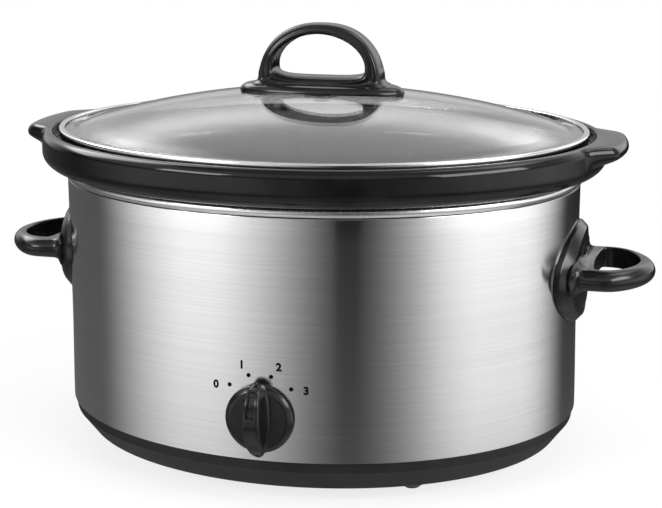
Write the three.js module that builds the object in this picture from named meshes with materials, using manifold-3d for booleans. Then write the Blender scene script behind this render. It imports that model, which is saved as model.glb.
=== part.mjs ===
// An oval electric slow cooker: a steel-wrapped heating base, a lift-out crock and a glass lid.
// Millimetres, +Z up. The origin is on the surface it stands on, under the middle of its box.
// +X points to the cooker's right-hand handle and -Y to the side with the control knob.
import * as THREE from 'three';
import { mergeVertices } from 'three/addons/utils/BufferGeometryUtils.js';
import Module from 'manifold-3d';

const wasm = await Module();
wasm.setup();

// Fits
const seat = 0.3; // gap left between two pieces that touch
const holeClearance = 0.6; // how much wider a hole is than the round thing that goes through it
const overrun = 2; // how far every cutting tool runs past the face that it cuts

// Steel wrap
const housingLength = 320;
const housingDepth = 271;
const housingHeight = 140.2;
const housingWall = 1;

// Base tray and feet
const footHeight = 8.4;
const footTopRadius = 11;
const footSoleRadius = 4;
const footSkirt = 2.4;
const footPegRadius = 3.6;
const footBarb = 1;
const footBarbHeight = 3;
const footInsetX = 83.5;
const footInsetY = 52.5;
const trayHeight = 19.6;
const trayBandHeight = 7;
const trayTopInset = 1;
const trayBandInset = 2;
const trayBottomInset = 12;
const trayFloor = 2.6;
const trayLipHeight = 11;
const trayLipThickness = 2;

// Heating well, the metal pan that the crock hangs in
const wellInset = 12;
const wellWall = 1;
const wellCorner = 36;
const wellStandoff = 46;
const wellFlangeDrop = 0.7;

// Heater, straps and insulation, wound round the well
const heaterThickness = 2;
const heaterHeight = 40;
const heaterRise = 41;
const heaterGap = 14;
const strapThickness = 0.8;
const strapHeight = 8;
const strapInset = 5;
const blanketThickness = 2.6;
const blanketMargin = 4;

// Rolled trim that caps the wrap
const trimProud = 1.6;
const trimHeight = 5.8;
const trimWidth = 4.8;
const trimShelf = 2;
const trimShelfWidth = 1.5;

// Crock
const rimProud = 15;
const rimWallHeight = 12.6;
const rimUnderHeight = 10;
const rimUnderReach = 13;
const rimEdgeRadius = 5.4;
const rimInnerRadius = 1.2;
const rimTopWidth = 6.6;
const rimNeck = 4;
const recessDepth = 4.8;
const ledgeWidth = 17;
const ledgeEdgeRadius = 4;
const crockWall = 7.5;
const crockFloor = 7.5;
const crockGap = 3;
const crockUnderGap = 5;
const crockCorner = 33;
const crockInnerCorner = 27;
const crockDraft = 1.5;
const earReach = 12.8;
const earThickness = 7.7;
const earTipHalfWidth = 27;
const earRootHalfWidth = 44;

// Lid
const bandProud = 4.4;
const bandWidth = 3.6;
const bandHeight = 6.6;
const bandSkin = 1;
const glassThickness = 3.6;
const glassRise = 23.4;
const glassFlatWidth = 3;
const glassHoleClearance = 0.9;
const flangeHalfLength = 52;
const flangeHalfDepth = 22.5;
const flangeThickness = 4.8;
const archHalfWidth = 39.6;
const archHeight = 44.1;
const archDepth = 25;
const archTopNarrowing = 8;
const gripHalfWidth = 29.4;
const gripBottom = 9.9;
const gripHeight = 27.8;
const lidScrewRadius = 2.5;
const lidScrewLength = 6.4;
const lidScrewHeadRadius = 5;
const lidScrewHeadHeight = 2.6;
const lidWasherRadius = 11;
const lidWasherThickness = 1.2;
const lidSealThickness = 1.2;

// Side handles
const loopTopGap = 43.7;
const bossHalfWidth = 44.5;
const bossHalfHeight = 30.5;
const bossProud = 7.2;
const bossFlatness = 0.5;
const bossDrop = 1.6;
const loopReach = 47;
const loopHalfWidth = 45;
const loopThickness = 13;
const loopTipWidth = 9.4;
const loopArmWidth = 15.3;
const loopHoleInset = 4.3;
const handleScrewSpacing = 34;
const handleScrewRadius = 2;
const handleScrewLength = 6;
const handleScrewHeadRadius = 3.6;
const handleScrewHeadHeight = 2.2;

// Control
const switchLipGap = 4.1;
const knobRadius = 19.8;
const knobClearance = 0.6;
const knobSkirtHeight = 4.6;
const knobBevel = 1.6;
const knobShell = 2.2;
const knobHollow = 2.6;
const wingHeight = 19;
const wingEndHeight = 5;
const wingBaseHalfLength = 22.6;
const wingFaceHalfLength = 21;
const wingBaseWidth = 13;
const wingFaceWidth = 9;
const grooveWidth = 4.6;
const grooveDepth = 1.4;
const grooveStart = 5.7;
const shaftRadius = 3;
const shaftInKnob = 13;
const shaftInSwitch = 8;
const shaftHoleClearance = 1.2;
const switchWidth = 26;
const switchHeight = 21;
const switchDepth = 20;
const switchScrewSpacing = 20;
const switchScrewRadius = 1.5;
const switchScrewLength = 7;
const switchScrewHeadRadius = 2.8;
const switchScrewHeadHeight = 1.6;
const tabWidth = 6.3;
const tabThickness = 0.8;
const tabLength = 7;
const tabSpacing = 11;
const tabSetback = 2.4;

// Bracket and bolt that pull the tray and the well together
const bracketWidth = 24;
const bracketLength = 96;
const bracketSheet = 2;
const bracketDrop = 22;
const bracketFoot = 14;
const boltRadius = 2.5;
const boltHeadRadius = 5;
const boltHeadHeight = 3;
const nutRadius = 4.6;
const nutHeight = 4;
const nutSides = 6;
const boltTail = 3;

// Thermal fuse in its clip
const fuseRadius = 2.2;
const fuseLength = 26;
const fuseOffsetX = 62;
const fuseClipWidth = 9;
const fuseClipSheet = 1;

// Terminal block and rear cable gland
const blockLength = 34;
const blockDepth = 14;
const blockHeight = 13;
const blockOffsetY = 78;
const glandLipGap = 2.3;
const glandBoreRadius = 3.6;
const glandNeckRadius = 6;
const glandFlangeRadius = 9;
const glandFlangeThickness = 4;
const glandNutThickness = 4;

// Leads inside the base
const leadRadius = 1.3;
const leadPlug = 5;
const leadRun = 14;
const leadFloorGap = 3.6;

// How finely curves are divided
const ovalSides = 40;
const crockSides = 44;
const cornerSteps = 3;
const beadSteps = 4;
const rodSides = 10;
const smallSides = 14;
const discSides = 24;
const archSides = 32;
const loopSides = 28;
const sectionSides = 10;
const leadSides = 6;
const leadSteps = 18;
const quarterTurn = Math.PI / 2;

// Levels and half lengths that follow from the sizes above
const halfLength = housingLength / 2;
const halfDepth = housingDepth / 2;
const squeeze = halfLength - halfDepth;
const housingBottom = footHeight + trayHeight;
const housingTop = housingBottom + housingHeight;
const trayFloorTop = footHeight + trayFloor;
const trayLipTop = housingBottom - seat + trayLipHeight;
const footX = halfLength - footInsetX;
const footY = halfDepth - footInsetY;
const handleHeight = housingTop - loopTopGap - loopThickness / 2;
const dialHeight = trayLipTop + switchLipGap + switchHeight / 2;
const glandHeight = trayLipTop + glandLipGap + glandFlangeRadius;
const trimBottom = housingTop + seat;
const trimTop = trimBottom + trimHeight;
const wellBottom = trayFloorTop + wellStandoff;
const wellOuter = halfLength - wellInset + wellWall;
const wellInner = wellOuter - wellWall;
const wellFloorTop = wellBottom + wellWall;
const flangeTop = trimTop - wellFlangeDrop;
const crockBottom = wellFloorTop + crockUnderGap;
const crockOuter = wellInner - crockGap;
const crockInner = crockOuter - crockWall;
const crockFloorTop = crockBottom + crockFloor;
const rimOuter = halfLength + rimProud;
const rimBottom = trimTop + seat;
const rimWallBottom = rimBottom + rimUnderHeight;
const rimTop = rimWallBottom + rimWallHeight;
const recessOuter = rimOuter - rimTopWidth;
const ledgeHeight = rimTop - recessDepth;
const bandOuter = halfLength + bandProud;
const bandInner = bandOuter - bandWidth;
const bandBottom = ledgeHeight + seat;
const glassEdge = bandOuter - bandSkin - seat;
const glassEdgeBottom = bandBottom + (bandHeight - glassThickness) / 2;
const glassEdgeTop = glassEdgeBottom + glassThickness;
const domeRadius = glassEdge - bandWidth - glassFlatWidth;
const domeTop = glassEdgeTop + glassRise;

// The knob stands further out in front than anything behind, so the oval's axis is off the middle.
const frontReach = halfDepth + knobClearance + wingHeight;
const rearReach = Math.max(rimOuter - squeeze, halfDepth + seat + glandFlangeThickness);
const axisY = (frontReach - rearReach) / 2;

// Turns a three.js geometry into one welded surface without slivers
function welded(geometry) {
  const bare = geometry.index ? geometry.toNonIndexed() : geometry.clone();
  for (const name of Object.keys(bare.attributes)) {
    if (name !== 'position') bare.deleteAttribute(name);
  }
  const merged = mergeVertices(bare);
  const corners = merged.index.array;
  const kept = [];
  for (let i = 0; i < corners.length; i += 3) {
    const [a, b, c] = corners.slice(i, i + 3);
    if (a !== b && b !== c && c !== a) kept.push(a, b, c);
  }
  merged.setIndex(kept);
  return merged;
}

// Cutting and joining
function solid(geometry) {
  const surface = welded(geometry);
  return new wasm.Manifold(new wasm.Mesh({
    numProp: 3,
    vertProperties: new Float32Array(surface.attributes.position.array),
    triVerts: new Uint32Array(surface.index.array),
  }));
}

function geometryOf(body) {
  const mesh = body.getMesh();
  const geometry = new THREE.BufferGeometry();
  geometry.setAttribute('position', new THREE.BufferAttribute(mesh.vertProperties, 3));
  geometry.setIndex(new THREE.BufferAttribute(mesh.triVerts, 1));
  return geometry;
}

function cut(geometry, ...tools) {
  return geometryOf(tools.reduce((body, tool) => body.subtract(solid(tool)), solid(geometry)));
}

function joined(...geometries) {
  const [first, ...others] = geometries.map(solid);
  return geometryOf(others.reduce((body, other) => body.add(other), first));
}

// Moves every vertex of a geometry by a rule
function reshaped(geometry, rule) {
  const places = geometry.attributes.position;
  const point = new THREE.Vector3();
  for (let i = 0; i < places.count; i += 1) {
    point.fromBufferAttribute(places, i);
    rule(point);
    places.setXYZ(i, point.x, point.y, point.z);
  }
  return geometry;
}

// A profile turned about Z. Profile points are [radius, height], outside going up.
function turned(profile, sides = rodSides) {
  const points = profile.map(([radius, height]) => new THREE.Vector2(radius, height));
  return new THREE.LatheGeometry(points, sides).rotateX(quarterTurn);
}

// A profile turned round the oval: radii are half lengths along X, and the half depth along Y is
// smaller by the same amount all the way out, but never under half the half length.
function drawnIn(point) {
  const radius = Math.hypot(point.x, point.y);
  if (radius > 0) point.y *= Math.max(1 - squeeze / radius, 1 / 2);
}

function ovalTurned(profile, sides = ovalSides) {
  return reshaped(turned(profile, sides), drawnIn);
}

// A straight ring of the oval, between two half lengths and two heights
function ovalRing(inner, outer, bottom, top) {
  return ovalTurned([[inner, bottom], [outer, bottom], [outer, top], [inner, top], [inner, bottom]]);
}

// A solid column of the oval
function ovalColumn(outer, bottom, top) {
  return ovalTurned([[0, bottom], [outer, bottom], [outer, top], [0, top]]);
}

// Points of a part of an ellipse in a profile, both ends included
function bend(centre, height, radiusOut, radiusUp, from, to, steps) {
  const points = [];
  for (let i = 0; i <= steps; i += 1) {
    const angle = from + ((to - from) * i) / steps;
    points.push([centre + radiusOut * Math.cos(angle), height + radiusUp * Math.sin(angle)]);
  }
  return points;
}

// Half length along X of an oval of the family at a depth y, and its half depth at a place x
function ovalX(outer, y) {
  return outer * Math.sqrt(1 - (y / (outer - squeeze)) ** 2);
}

function ovalY(outer, x) {
  return (outer - squeeze) * Math.sqrt(1 - (x / outer) ** 2);
}

// An oval's flat sides lie inside the true oval by this share of it
const facetShare = Math.cos(2 * quarterTurn / ovalSides);

// A cosine or sine bent towards a square corner: power 2 leaves it as it is.
function squared(value, power) {
  return Math.sign(value) * Math.abs(value) ** (2 / power);
}

// A closed hoop in the XY plane between an inner and an outer outline, both given by an angle, with
// a section whose two halves have their own roundness. thicknessAt gives its thickness along Z.
function hoop(innerAt, outerAt, thicknessAt, innerPower, outerPower, sides) {
  const section = [];
  for (let i = 0; i <= sectionSides; i += 1) {
    const angle = (i / sectionSides) * 4 * quarterTurn;
    const power = Math.cos(angle) > 0 ? outerPower : innerPower;
    section.push([2 + squared(Math.cos(angle), power), squared(Math.sin(angle), power)]);
  }
  return reshaped(turned(section, sides), (point) => {
    const angle = Math.atan2(point.y, point.x);
    const outwardShare = (Math.hypot(point.x, point.y) - 1) / 2;
    const upShare = point.z / 2;
    const place = innerAt(angle).lerp(outerAt(angle), outwardShare);
    point.set(place.x, place.y, upShare * thicknessAt(place));
  });
}

// A round bar between two points on a line parallel to an axis
function bar(radius, from, to, sides = rodSides) {
  const start = new THREE.Vector3(...from);
  const end = new THREE.Vector3(...to);
  const geometry = new THREE.CylinderGeometry(radius, radius, start.distanceTo(end), sides);
  const up = new THREE.Vector3(0, 1, 0);
  geometry.applyQuaternion(new THREE.Quaternion().setFromUnitVectors(up, end.clone().sub(start).normalize()));
  return geometry.translate(...start.add(end).divideScalar(2).toArray());
}

function block(low, high) {
  const size = high.map((value, i) => value - low[i]);
  const middle = high.map((value, i) => (value + low[i]) / 2);
  return new THREE.BoxGeometry(...size).translate(...middle);
}

// A screw or bolt: its shank runs along +Z from 0 and its domed head lies below 0.
function screw(shankRadius, length, headRadius, headHeight) {
  return turned([
    [0, -headHeight], ...bend(0, -headHeight / 2, headRadius, headHeight / 2, -quarterTurn, 0, 2).slice(1),
    [headRadius, 0], [shankRadius, 0], [shankRadius, length], [0, length],
  ]);
}

// A lead along hand-placed points
function lead(points) {
  const path = new THREE.CatmullRomCurve3(points.map((point) => new THREE.Vector3(...point)));
  const section = new THREE.Shape().absarc(0, 0, leadRadius, 0, 4 * quarterTurn);
  return new THREE.ExtrudeGeometry(section, {
    steps: leadSteps, curveSegments: leadSides / 2, extrudePath: path, bevelEnabled: false,
  });
}

// Finishes
function finish(color, roughness, metalness = 0, extra = {}) {
  return new THREE.MeshStandardMaterial({ color, roughness, metalness, ...extra });
}

const brushedSteel = finish(0xb9bbbd, 0.34, 1);
const polishedSteel = finish(0xd6d8da, 0.12, 1);
const galvanised = finish(0x9fa3a6, 0.45, 0.9);
const blackPlastic = finish(0x141416, 0.3);
const mattPlastic = finish(0x222224, 0.62);
const blackGlaze = finish(0x0c0c0e, 0.1);
const clearGlass = finish(0xe9f1f0, 0.04, 0, { transparent: true, opacity: 0.3 });
const greyRubber = finish(0x5c5c5e, 0.85);
const silicone = finish(0xdfe0dd, 0.7);
const mica = finish(0xb59a6a, 0.6);
const glassFibre = finish(0xe8e4d8, 0.95);
const phenolic = finish(0x5a3a28, 0.55);
const nylon = finish(0xe6e4da, 0.5);
const redSleeve = finish(0x9b2018, 0.6);
const whiteSleeve = finish(0xe4e2dc, 0.6);

function piece(name, geometry, material) {
  const mesh = new THREE.Mesh(welded(geometry), material);
  mesh.name = name;
  return mesh;
}

// Heights of the rows of holes through the wrap
const handleScrewHeights = [handleHeight - handleScrewSpacing / 2, handleHeight + handleScrewSpacing / 2];
const switchScrewPlaces = [-switchScrewSpacing / 2, switchScrewSpacing / 2];
const glandHoleRadius = glandNeckRadius + holeClearance;

function outerHousing() {
  const shell = ovalRing(halfLength - housingWall, halfLength, housingBottom, housingTop);
  const wallInside = halfDepth - housingWall - overrun;
  const wallOutside = halfDepth + overrun;
  const front = (radius, x) => bar(radius, [x, -wallOutside, dialHeight], [x, -wallInside, dialHeight]);
  const holes = [
    front(shaftRadius + shaftHoleClearance, 0),
    ...switchScrewPlaces.map((x) => front(switchScrewRadius + seat, x)),
    bar(glandHoleRadius, [0, wallInside, glandHeight], [0, wallOutside, glandHeight]),
  ];
  for (const side of [-1, 1]) {
    for (const height of handleScrewHeights) {
      const [inside, outside] = [-housingWall - overrun, overrun].map((past) => side * (halfLength + past));
      holes.push(bar(handleScrewRadius + holeClearance, [inside, 0, height], [outside, 0, height]));
    }
  }
  return piece('outer_housing', cut(shell, ...holes), brushedSteel);
}

// A rolled bead on the outside, with a shelf inside it for the well's flange
function rimTrim() {
  const outer = halfLength + trimProud;
  const bead = trimHeight / 2;
  const inner = outer - trimWidth;
  const shelf = inner + trimShelfWidth;
  const profile = [
    [inner, trimBottom],
    ...bend(outer - bead, trimBottom + bead, bead, bead, -quarterTurn, quarterTurn, beadSteps),
    [shelf, trimTop - seat], [shelf, trimTop - trimShelf], [inner, trimTop - trimShelf], [inner, trimBottom],
  ];
  return piece('rim_trim', ovalTurned(profile), polishedSteel);
}

function heatingWell() {
  const flangeEdge = halfLength + trimProud - trimWidth + trimShelfWidth - seat;
  const cornerHeight = wellBottom + wellCorner;
  const innerCorner = wellCorner - wellWall;
  const centre = wellOuter - wellCorner;
  const profile = [
    [0, wellBottom],
    ...bend(centre, cornerHeight, wellCorner, wellCorner, -quarterTurn, 0, cornerSteps),
    [wellOuter, flangeTop - wellWall], [flangeEdge, flangeTop - wellWall],
    [flangeEdge, flangeTop], [wellInner, flangeTop],
    ...bend(centre, cornerHeight, innerCorner, innerCorner, 0, -quarterTurn, cornerSteps),
    [0, wellFloorTop],
  ];
  return piece('heating_well', ovalTurned(profile), galvanised);
}

// Mica band heater: a strip round the well, open at the back where its two ends stand
const heaterInner = wellOuter + seat;
const heaterOuter = heaterInner + heaterThickness;
const heaterBottom = wellBottom + heaterRise;
const heaterTop = heaterBottom + heaterHeight;
const strapInner = heaterOuter + seat;
const strapOuter = strapInner + strapThickness;
const blanketInner = strapOuter + seat;

function heaterBand() {
  const ring = ovalRing(heaterInner, heaterOuter, heaterBottom, heaterTop);
  const gap = block(
    [-heaterGap / 2, 0, heaterBottom - overrun],
    [heaterGap / 2, halfDepth, heaterTop + overrun],
  );
  return piece('heater_band', cut(ring, gap), mica);
}

function heaterStrap(name, bottom) {
  return piece(name, ovalRing(strapInner, strapOuter, bottom, bottom + strapHeight), galvanised);
}

// Glass-fibre blanket between the straps and the wrap
function insulationBlanket() {
  const bottom = heaterBottom - blanketMargin;
  const top = heaterTop + blanketMargin;
  const ring = ovalRing(blanketInner, blanketInner + blanketThickness, bottom, top);
  return piece('insulation_blanket', ring, glassFibre);
}

// Moulded tray: it closes the bottom, and its lip stands inside the wrap.
const footPlaces = [];
for (const y of [-footY, footY]) {
  for (const x of [-footX, footX]) footPlaces.push([x, y]);
}

function baseTray() {
  const lipOuter = halfLength - housingWall - seat;
  const lipInner = lipOuter - trayLipThickness;
  const bandBottomHeight = housingBottom - trayBandHeight;
  const top = housingBottom - seat;
  const bottomEdge = halfLength - trayBottomInset;
  const profile = [
    [0, footHeight], [bottomEdge, footHeight],
    [halfLength - trayBandInset, bandBottomHeight],
    [halfLength - trayTopInset, top], [lipOuter, top],
    [lipOuter, trayLipTop], [lipInner, trayLipTop],
    [lipInner, bandBottomHeight], [bottomEdge - trayFloor, trayFloorTop], [0, trayFloorTop],
  ];
  const through = (radius, x, y) => bar(
    radius, [x, y, footHeight - overrun], [x, y, trayFloorTop + overrun],
  );
  const holes = footPlaces.map(([x, y]) => through(footPegRadius + holeClearance, x, y));
  holes.push(through(boltRadius + holeClearance, 0, 0));
  return piece('base_tray', cut(ovalTurned(profile), ...holes), mattPlastic);
}

// Rubber foot: a blunt cone with a barbed peg that snaps through the tray
function foot(name, x, y) {
  const top = footHeight - seat;
  const barbBottom = trayFloorTop + seat;
  const profile = [
    [0, 0], [footSoleRadius, 0], [footTopRadius, top - footSkirt],
    [footTopRadius, top], [footPegRadius, top],
    [footPegRadius, barbBottom], [footPegRadius + footBarb, barbBottom],
    [footPegRadius - footBarb, barbBottom + footBarbHeight], [0, barbBottom + footBarbHeight],
  ];
  const mesh = piece(name, turned(profile, smallSides), greyRubber);
  mesh.position.set(x, y, 0);
  return mesh;
}

// Hat-shaped strap under the well, the bolt that comes up through the tray, and its nut
const bracketTop = wellBottom - seat;
const webBottom = bracketTop - bracketDrop;

function tieBracket() {
  const end = bracketLength / 2;
  const bendAt = end - bracketFoot;
  const side = new THREE.Shape([
    [-end, bracketTop], [-end, bracketTop - bracketSheet],
    [-bendAt - bracketSheet, bracketTop - bracketSheet], [-bendAt - bracketSheet, webBottom],
    [bendAt + bracketSheet, webBottom], [bendAt + bracketSheet, bracketTop - bracketSheet],
    [end, bracketTop - bracketSheet], [end, bracketTop],
    [bendAt, bracketTop], [bendAt, webBottom + bracketSheet],
    [-bendAt, webBottom + bracketSheet], [-bendAt, bracketTop],
  ].map(([x, z]) => new THREE.Vector2(x, z)));
  const strap = new THREE.ExtrudeGeometry(side, { depth: bracketWidth, bevelEnabled: false });
  strap.rotateX(quarterTurn).translate(0, bracketWidth / 2, 0);
  const webTop = webBottom + bracketSheet;
  const hole = bar(boltRadius + holeClearance, [0, 0, webBottom - overrun], [0, 0, webTop + overrun]);
  return piece('tie_bracket', cut(strap, hole), galvanised);
}

function tieBolt() {
  const nutTop = webBottom + bracketSheet + seat + nutHeight;
  const length = nutTop + boltTail - footHeight + seat;
  const mesh = piece('tie_bolt', screw(boltRadius, length, boltHeadRadius, boltHeadHeight), polishedSteel);
  mesh.position.z = footHeight - seat;
  return mesh;
}

function tieNut() {
  const bottom = webBottom + bracketSheet + seat;
  const top = bottom + nutHeight;
  const hexagon = turned([[0, bottom], [nutRadius, bottom], [nutRadius, top], [0, top]], nutSides);
  const bore = bar(boltRadius + seat, [0, 0, bottom - overrun], [0, 0, top + overrun]);
  return piece('tie_nut', cut(hexagon, bore), galvanised);
}

// The crock's ears grow out of the rim's ends. Each profile point says how much of them it carries.
const earRise = rimTop - earThickness;
const rimUnderCentre = rimOuter - rimUnderReach;
const crockProfile = [
  ...[[0, crockBottom], ...bend(
    crockOuter - crockDraft - crockCorner, crockBottom + crockCorner, crockCorner, crockCorner,
    -quarterTurn, 0, cornerSteps,
  ),
  [crockOuter, rimBottom - rimNeck],
  ...bend(crockOuter + rimNeck, rimBottom - rimNeck, rimNeck, rimNeck, 2 * quarterTurn, quarterTurn, 2)
    .slice(1),
  ...bend(rimUnderCentre, rimWallBottom, rimUnderReach, rimUnderHeight, -quarterTurn, 0, cornerSteps),
  ].map((point) => [...point, 0]),
  [rimOuter, (rimWallBottom + earRise) / 2, 1 / 2],
  [rimOuter, earRise, 1],
  ...bend(rimOuter - rimEdgeRadius, rimTop - rimEdgeRadius, rimEdgeRadius, rimEdgeRadius, 0, quarterTurn, 3)
    .map((point) => [...point, 1]),
  ...[...bend(recessOuter + rimInnerRadius, rimTop - rimInnerRadius, rimInnerRadius, rimInnerRadius,
    quarterTurn, 2 * quarterTurn, 1).slice(1),
  [recessOuter, ledgeHeight],
  ...bend(recessOuter - ledgeWidth, ledgeHeight - ledgeEdgeRadius, ledgeEdgeRadius, ledgeEdgeRadius,
    quarterTurn, 3 * quarterTurn / 2, 1),
  [crockInner, ledgeHeight - 3 * ledgeEdgeRadius],
  ...bend(crockInner - crockDraft - crockInnerCorner, crockFloorTop + crockInnerCorner,
    crockInnerCorner, crockInnerCorner, 0, -quarterTurn, cornerSteps),
  [0, crockFloorTop],
  ].map((point) => [...point, 0]),
];

// How much of its reach an ear has at a distance from the middle of its tip
function earShare(offset) {
  return 1 - THREE.MathUtils.smoothstep(Math.abs(offset), earTipHalfWidth, earRootHalfWidth);
}

// Turned like the other ovals, with its sides crowded towards the ends, where the ears need them
function crock() {
  const crowdShare = 0.3;
  const geometry = new THREE.LatheGeometry(
    crockProfile.map(([radius, height]) => new THREE.Vector2(radius, height)), crockSides,
  ).rotateX(quarterTurn);
  const places = geometry.attributes.position;
  for (let i = 0; i < places.count; i += 1) {
    const [radius, height, share] = crockProfile[i % crockProfile.length];
    const even = (Math.floor(i / crockProfile.length) / crockSides) * 4 * quarterTurn;
    const angle = even - crowdShare * Math.sin(2 * even);
    const point = new THREE.Vector3(radius * Math.cos(angle), radius * Math.sin(angle), height);
    drawnIn(point);
    point.x += Math.sign(point.x) * earReach * share * earShare(point.y);
    places.setXYZ(i, point.x, point.y, point.z);
  }
  return piece('crock', geometry, blackGlaze);
}

// Folded steel band round the glass: a channel with its open side inwards
function lidBand() {
  const grooveBottom = glassEdgeBottom - seat;
  const grooveTop = glassEdgeTop + seat;
  const groove = bandOuter - bandSkin;
  const [reach, rise] = [bandWidth / 2, bandHeight / 2];
  const profile = [
    [bandInner, bandBottom],
    ...bend(bandOuter - reach, bandBottom + rise, reach, rise, -quarterTurn, quarterTurn, beadSteps),
    [bandInner, grooveTop + bandSkin / 2], [bandInner, grooveTop],
    [groove, grooveTop], [groove, grooveBottom], [bandInner, grooveBottom], [bandInner, bandBottom],
  ];
  return piece('lid_band', ovalTurned(profile), polishedSteel);
}

// Height of the glass's outside above its edge, at a share of the dome's radius
const domeFlatShare = 0.1;
const domeShares = [1, 0.8, 0.58, 0.35, domeFlatShare];

function domeHeight(share) {
  return glassRise * (1 - share ** 2) / (1 - domeFlatShare ** 2);
}

// The dome keeps the oval's proportions all the way in, so it is one smooth bowl.
const glassAspect = (glassEdge - squeeze) / glassEdge;

function scaledOval(profile) {
  return turned(profile, ovalSides).scale(1, glassAspect, 1);
}

function lidGlass() {
  const outside = domeShares.map((share) => [domeRadius * share, glassEdgeTop + domeHeight(share)]);
  const inside = domeShares.map((share) => [domeRadius * share, glassEdgeBottom + domeHeight(share)]);
  const profile = [
    [glassEdge, glassEdgeBottom], [glassEdge, glassEdgeTop], ...outside,
    [0, domeTop], [0, domeTop - glassThickness], ...inside.reverse(), [glassEdge, glassEdgeBottom],
  ];
  const hole = bar(lidScrewRadius + glassHoleClearance, [0, 0, glassEdgeBottom], [0, 0, domeTop + overrun]);
  return piece('lid_glass', cut(scaledOval(profile), hole), clearGlass);
}

// Lid handle: an arch with a finger hole, standing on a flange that follows the dome
const flangeShares = [
  [0, -1], [0.94, -1], [1, -0.45], [0.985, 0.16], [0.93, 0.55], [0.8, 0.82], [0.5, 1], [0, 1.2],
];

const archBase = domeTop - glassThickness;
const archPower = 2.4;
const archWallPower = 6;
const archCrownPower = 2.8;
const gripPower = 1.9;
const gripFloorPower = 4;
const gripFloorShare = 0.28;
const gripFloorRise = gripFloorShare * gripHeight;
const gripMiddle = gripBottom + gripFloorRise;

function lidHandle() {
  const outerAt = (angle) => new THREE.Vector2(
    archHalfWidth * squared(Math.cos(angle), archPower),
    archHeight * squared(Math.max(Math.sin(angle), 0), archPower),
  );
  const innerAt = (angle) => {
    const above = Math.sin(angle) > 0;
    const power = above ? gripPower : gripFloorPower;
    const rise = above ? gripHeight - gripFloorRise : gripFloorRise;
    return new THREE.Vector2(
      gripHalfWidth * squared(Math.cos(angle), power), gripMiddle + rise * squared(Math.sin(angle), power),
    );
  };
  const depthAt = (place) => archDepth - archTopNarrowing * (place.y / archHeight);
  const arch = hoop(innerAt, outerAt, depthAt, archWallPower, archCrownPower, archSides);
  arch.rotateX(quarterTurn).translate(0, 0, archBase);
  const flangeProfile = flangeShares.map(([out, up]) => [flangeHalfLength * out, flangeThickness * up]);
  const flange = turned(flangeProfile, discSides);
  flange.scale(1, flangeHalfDepth / flangeHalfLength, 1).translate(0, 0, domeTop);
  const dome = scaledOval([
    [0, glassEdgeBottom - flangeThickness], [domeRadius, glassEdgeBottom - flangeThickness],
    ...domeShares.map((share) => [domeRadius * share, glassEdgeTop + seat + domeHeight(share)]),
    [0, domeTop + seat],
  ]);
  const pilotTop = domeTop + seat + lidScrewLength - glassThickness;
  const pilot = bar(lidScrewRadius + seat, [0, 0, domeTop - overrun], [0, 0, pilotTop + seat]);
  return piece('lid_handle', cut(joined(arch, flange), dome, pilot), blackPlastic);
}

const glassUnderside = domeTop - glassThickness;

function ringPlate(name, bore, radius, bottom, thickness, material) {
  const top = bottom + thickness;
  const profile = [[bore, bottom], [radius, bottom], [radius, top], [bore, top], [bore, bottom]];
  return piece(name, turned(profile, smallSides), material);
}

const sealBottom = glassUnderside - seat - lidSealThickness;
const washerBottom = sealBottom - seat - lidWasherThickness;
const lidScrewBore = lidScrewRadius + seat;

function lidScrew() {
  const shoulder = washerBottom - seat;
  const length = domeTop + seat + lidScrewLength - glassThickness - shoulder;
  const shape = screw(lidScrewRadius, length, lidScrewHeadRadius, lidScrewHeadHeight);
  const mesh = piece('lid_screw', shape, polishedSteel);
  mesh.position.z = shoulder;
  return mesh;
}

// Side handle for the +X end: a crowned boss moulded to the wall, with a level loop
const bossShares = [
  [0, -0.7], [1, -0.7], [1, 0.06], [0.93, 0.5], [0.87, 0.7], [0.8, 0.8], [0.62, 0.9], [0.35, 0.97], [0, 1],
];

function handleBoss() {
  const boss = turned(bossShares, discSides);
  return reshaped(boss, (point) => {
    const y = bossHalfWidth * point.x;
    const z = bossHalfHeight * point.y;
    const wall = ovalX(halfLength, y);
    const flatter = bossFlatness * (halfLength - wall);
    point.set(wall + (bossProud + flatter) * point.z, y, z + handleHeight - bossDrop);
  });
}

const loopPower = 1.9;
const loopBackPower = 5;
const loopWallPower = 5;
const loopCrownPower = 2.5;

function handleLoop() {
  const holeBack = halfLength + bossProud + loopHoleInset;
  const holeFront = halfLength + loopReach - loopTipWidth;
  const holeWaist = holeBack + (holeFront - holeBack) / 4;
  const outerAt = (angle) => new THREE.Vector2(
    halfLength + (Math.cos(angle) > 0 ? loopReach : bossProud) * squared(Math.cos(angle), loopPower),
    loopHalfWidth * squared(Math.sin(angle), loopPower),
  );
  const innerAt = (angle) => {
    const ahead = Math.cos(angle) > 0;
    const reach = ahead ? holeFront - holeWaist : holeWaist - holeBack;
    return new THREE.Vector2(
      holeWaist + reach * squared(Math.cos(angle), ahead ? loopPower : loopBackPower),
      (loopHalfWidth - loopArmWidth) * squared(Math.sin(angle), loopPower),
    );
  };
  const loop = hoop(
    innerAt, outerAt, () => loopThickness, loopWallPower, loopCrownPower, loopSides,
  );
  return loop.translate(0, 0, handleHeight);
}

function sideHandle(name, turn) {
  const column = ovalColumn(halfLength + seat, housingBottom, housingTop);
  const pilots = handleScrewHeights.map((height) => bar(
    handleScrewRadius + seat, [halfLength - overrun, 0, height],
    [halfLength - housingWall + handleScrewLength, 0, height],
  ));
  const mesh = piece(name, cut(joined(handleBoss(), handleLoop()), column, ...pilots), blackPlastic);
  mesh.rotation.z = turn;
  return mesh;
}

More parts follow.
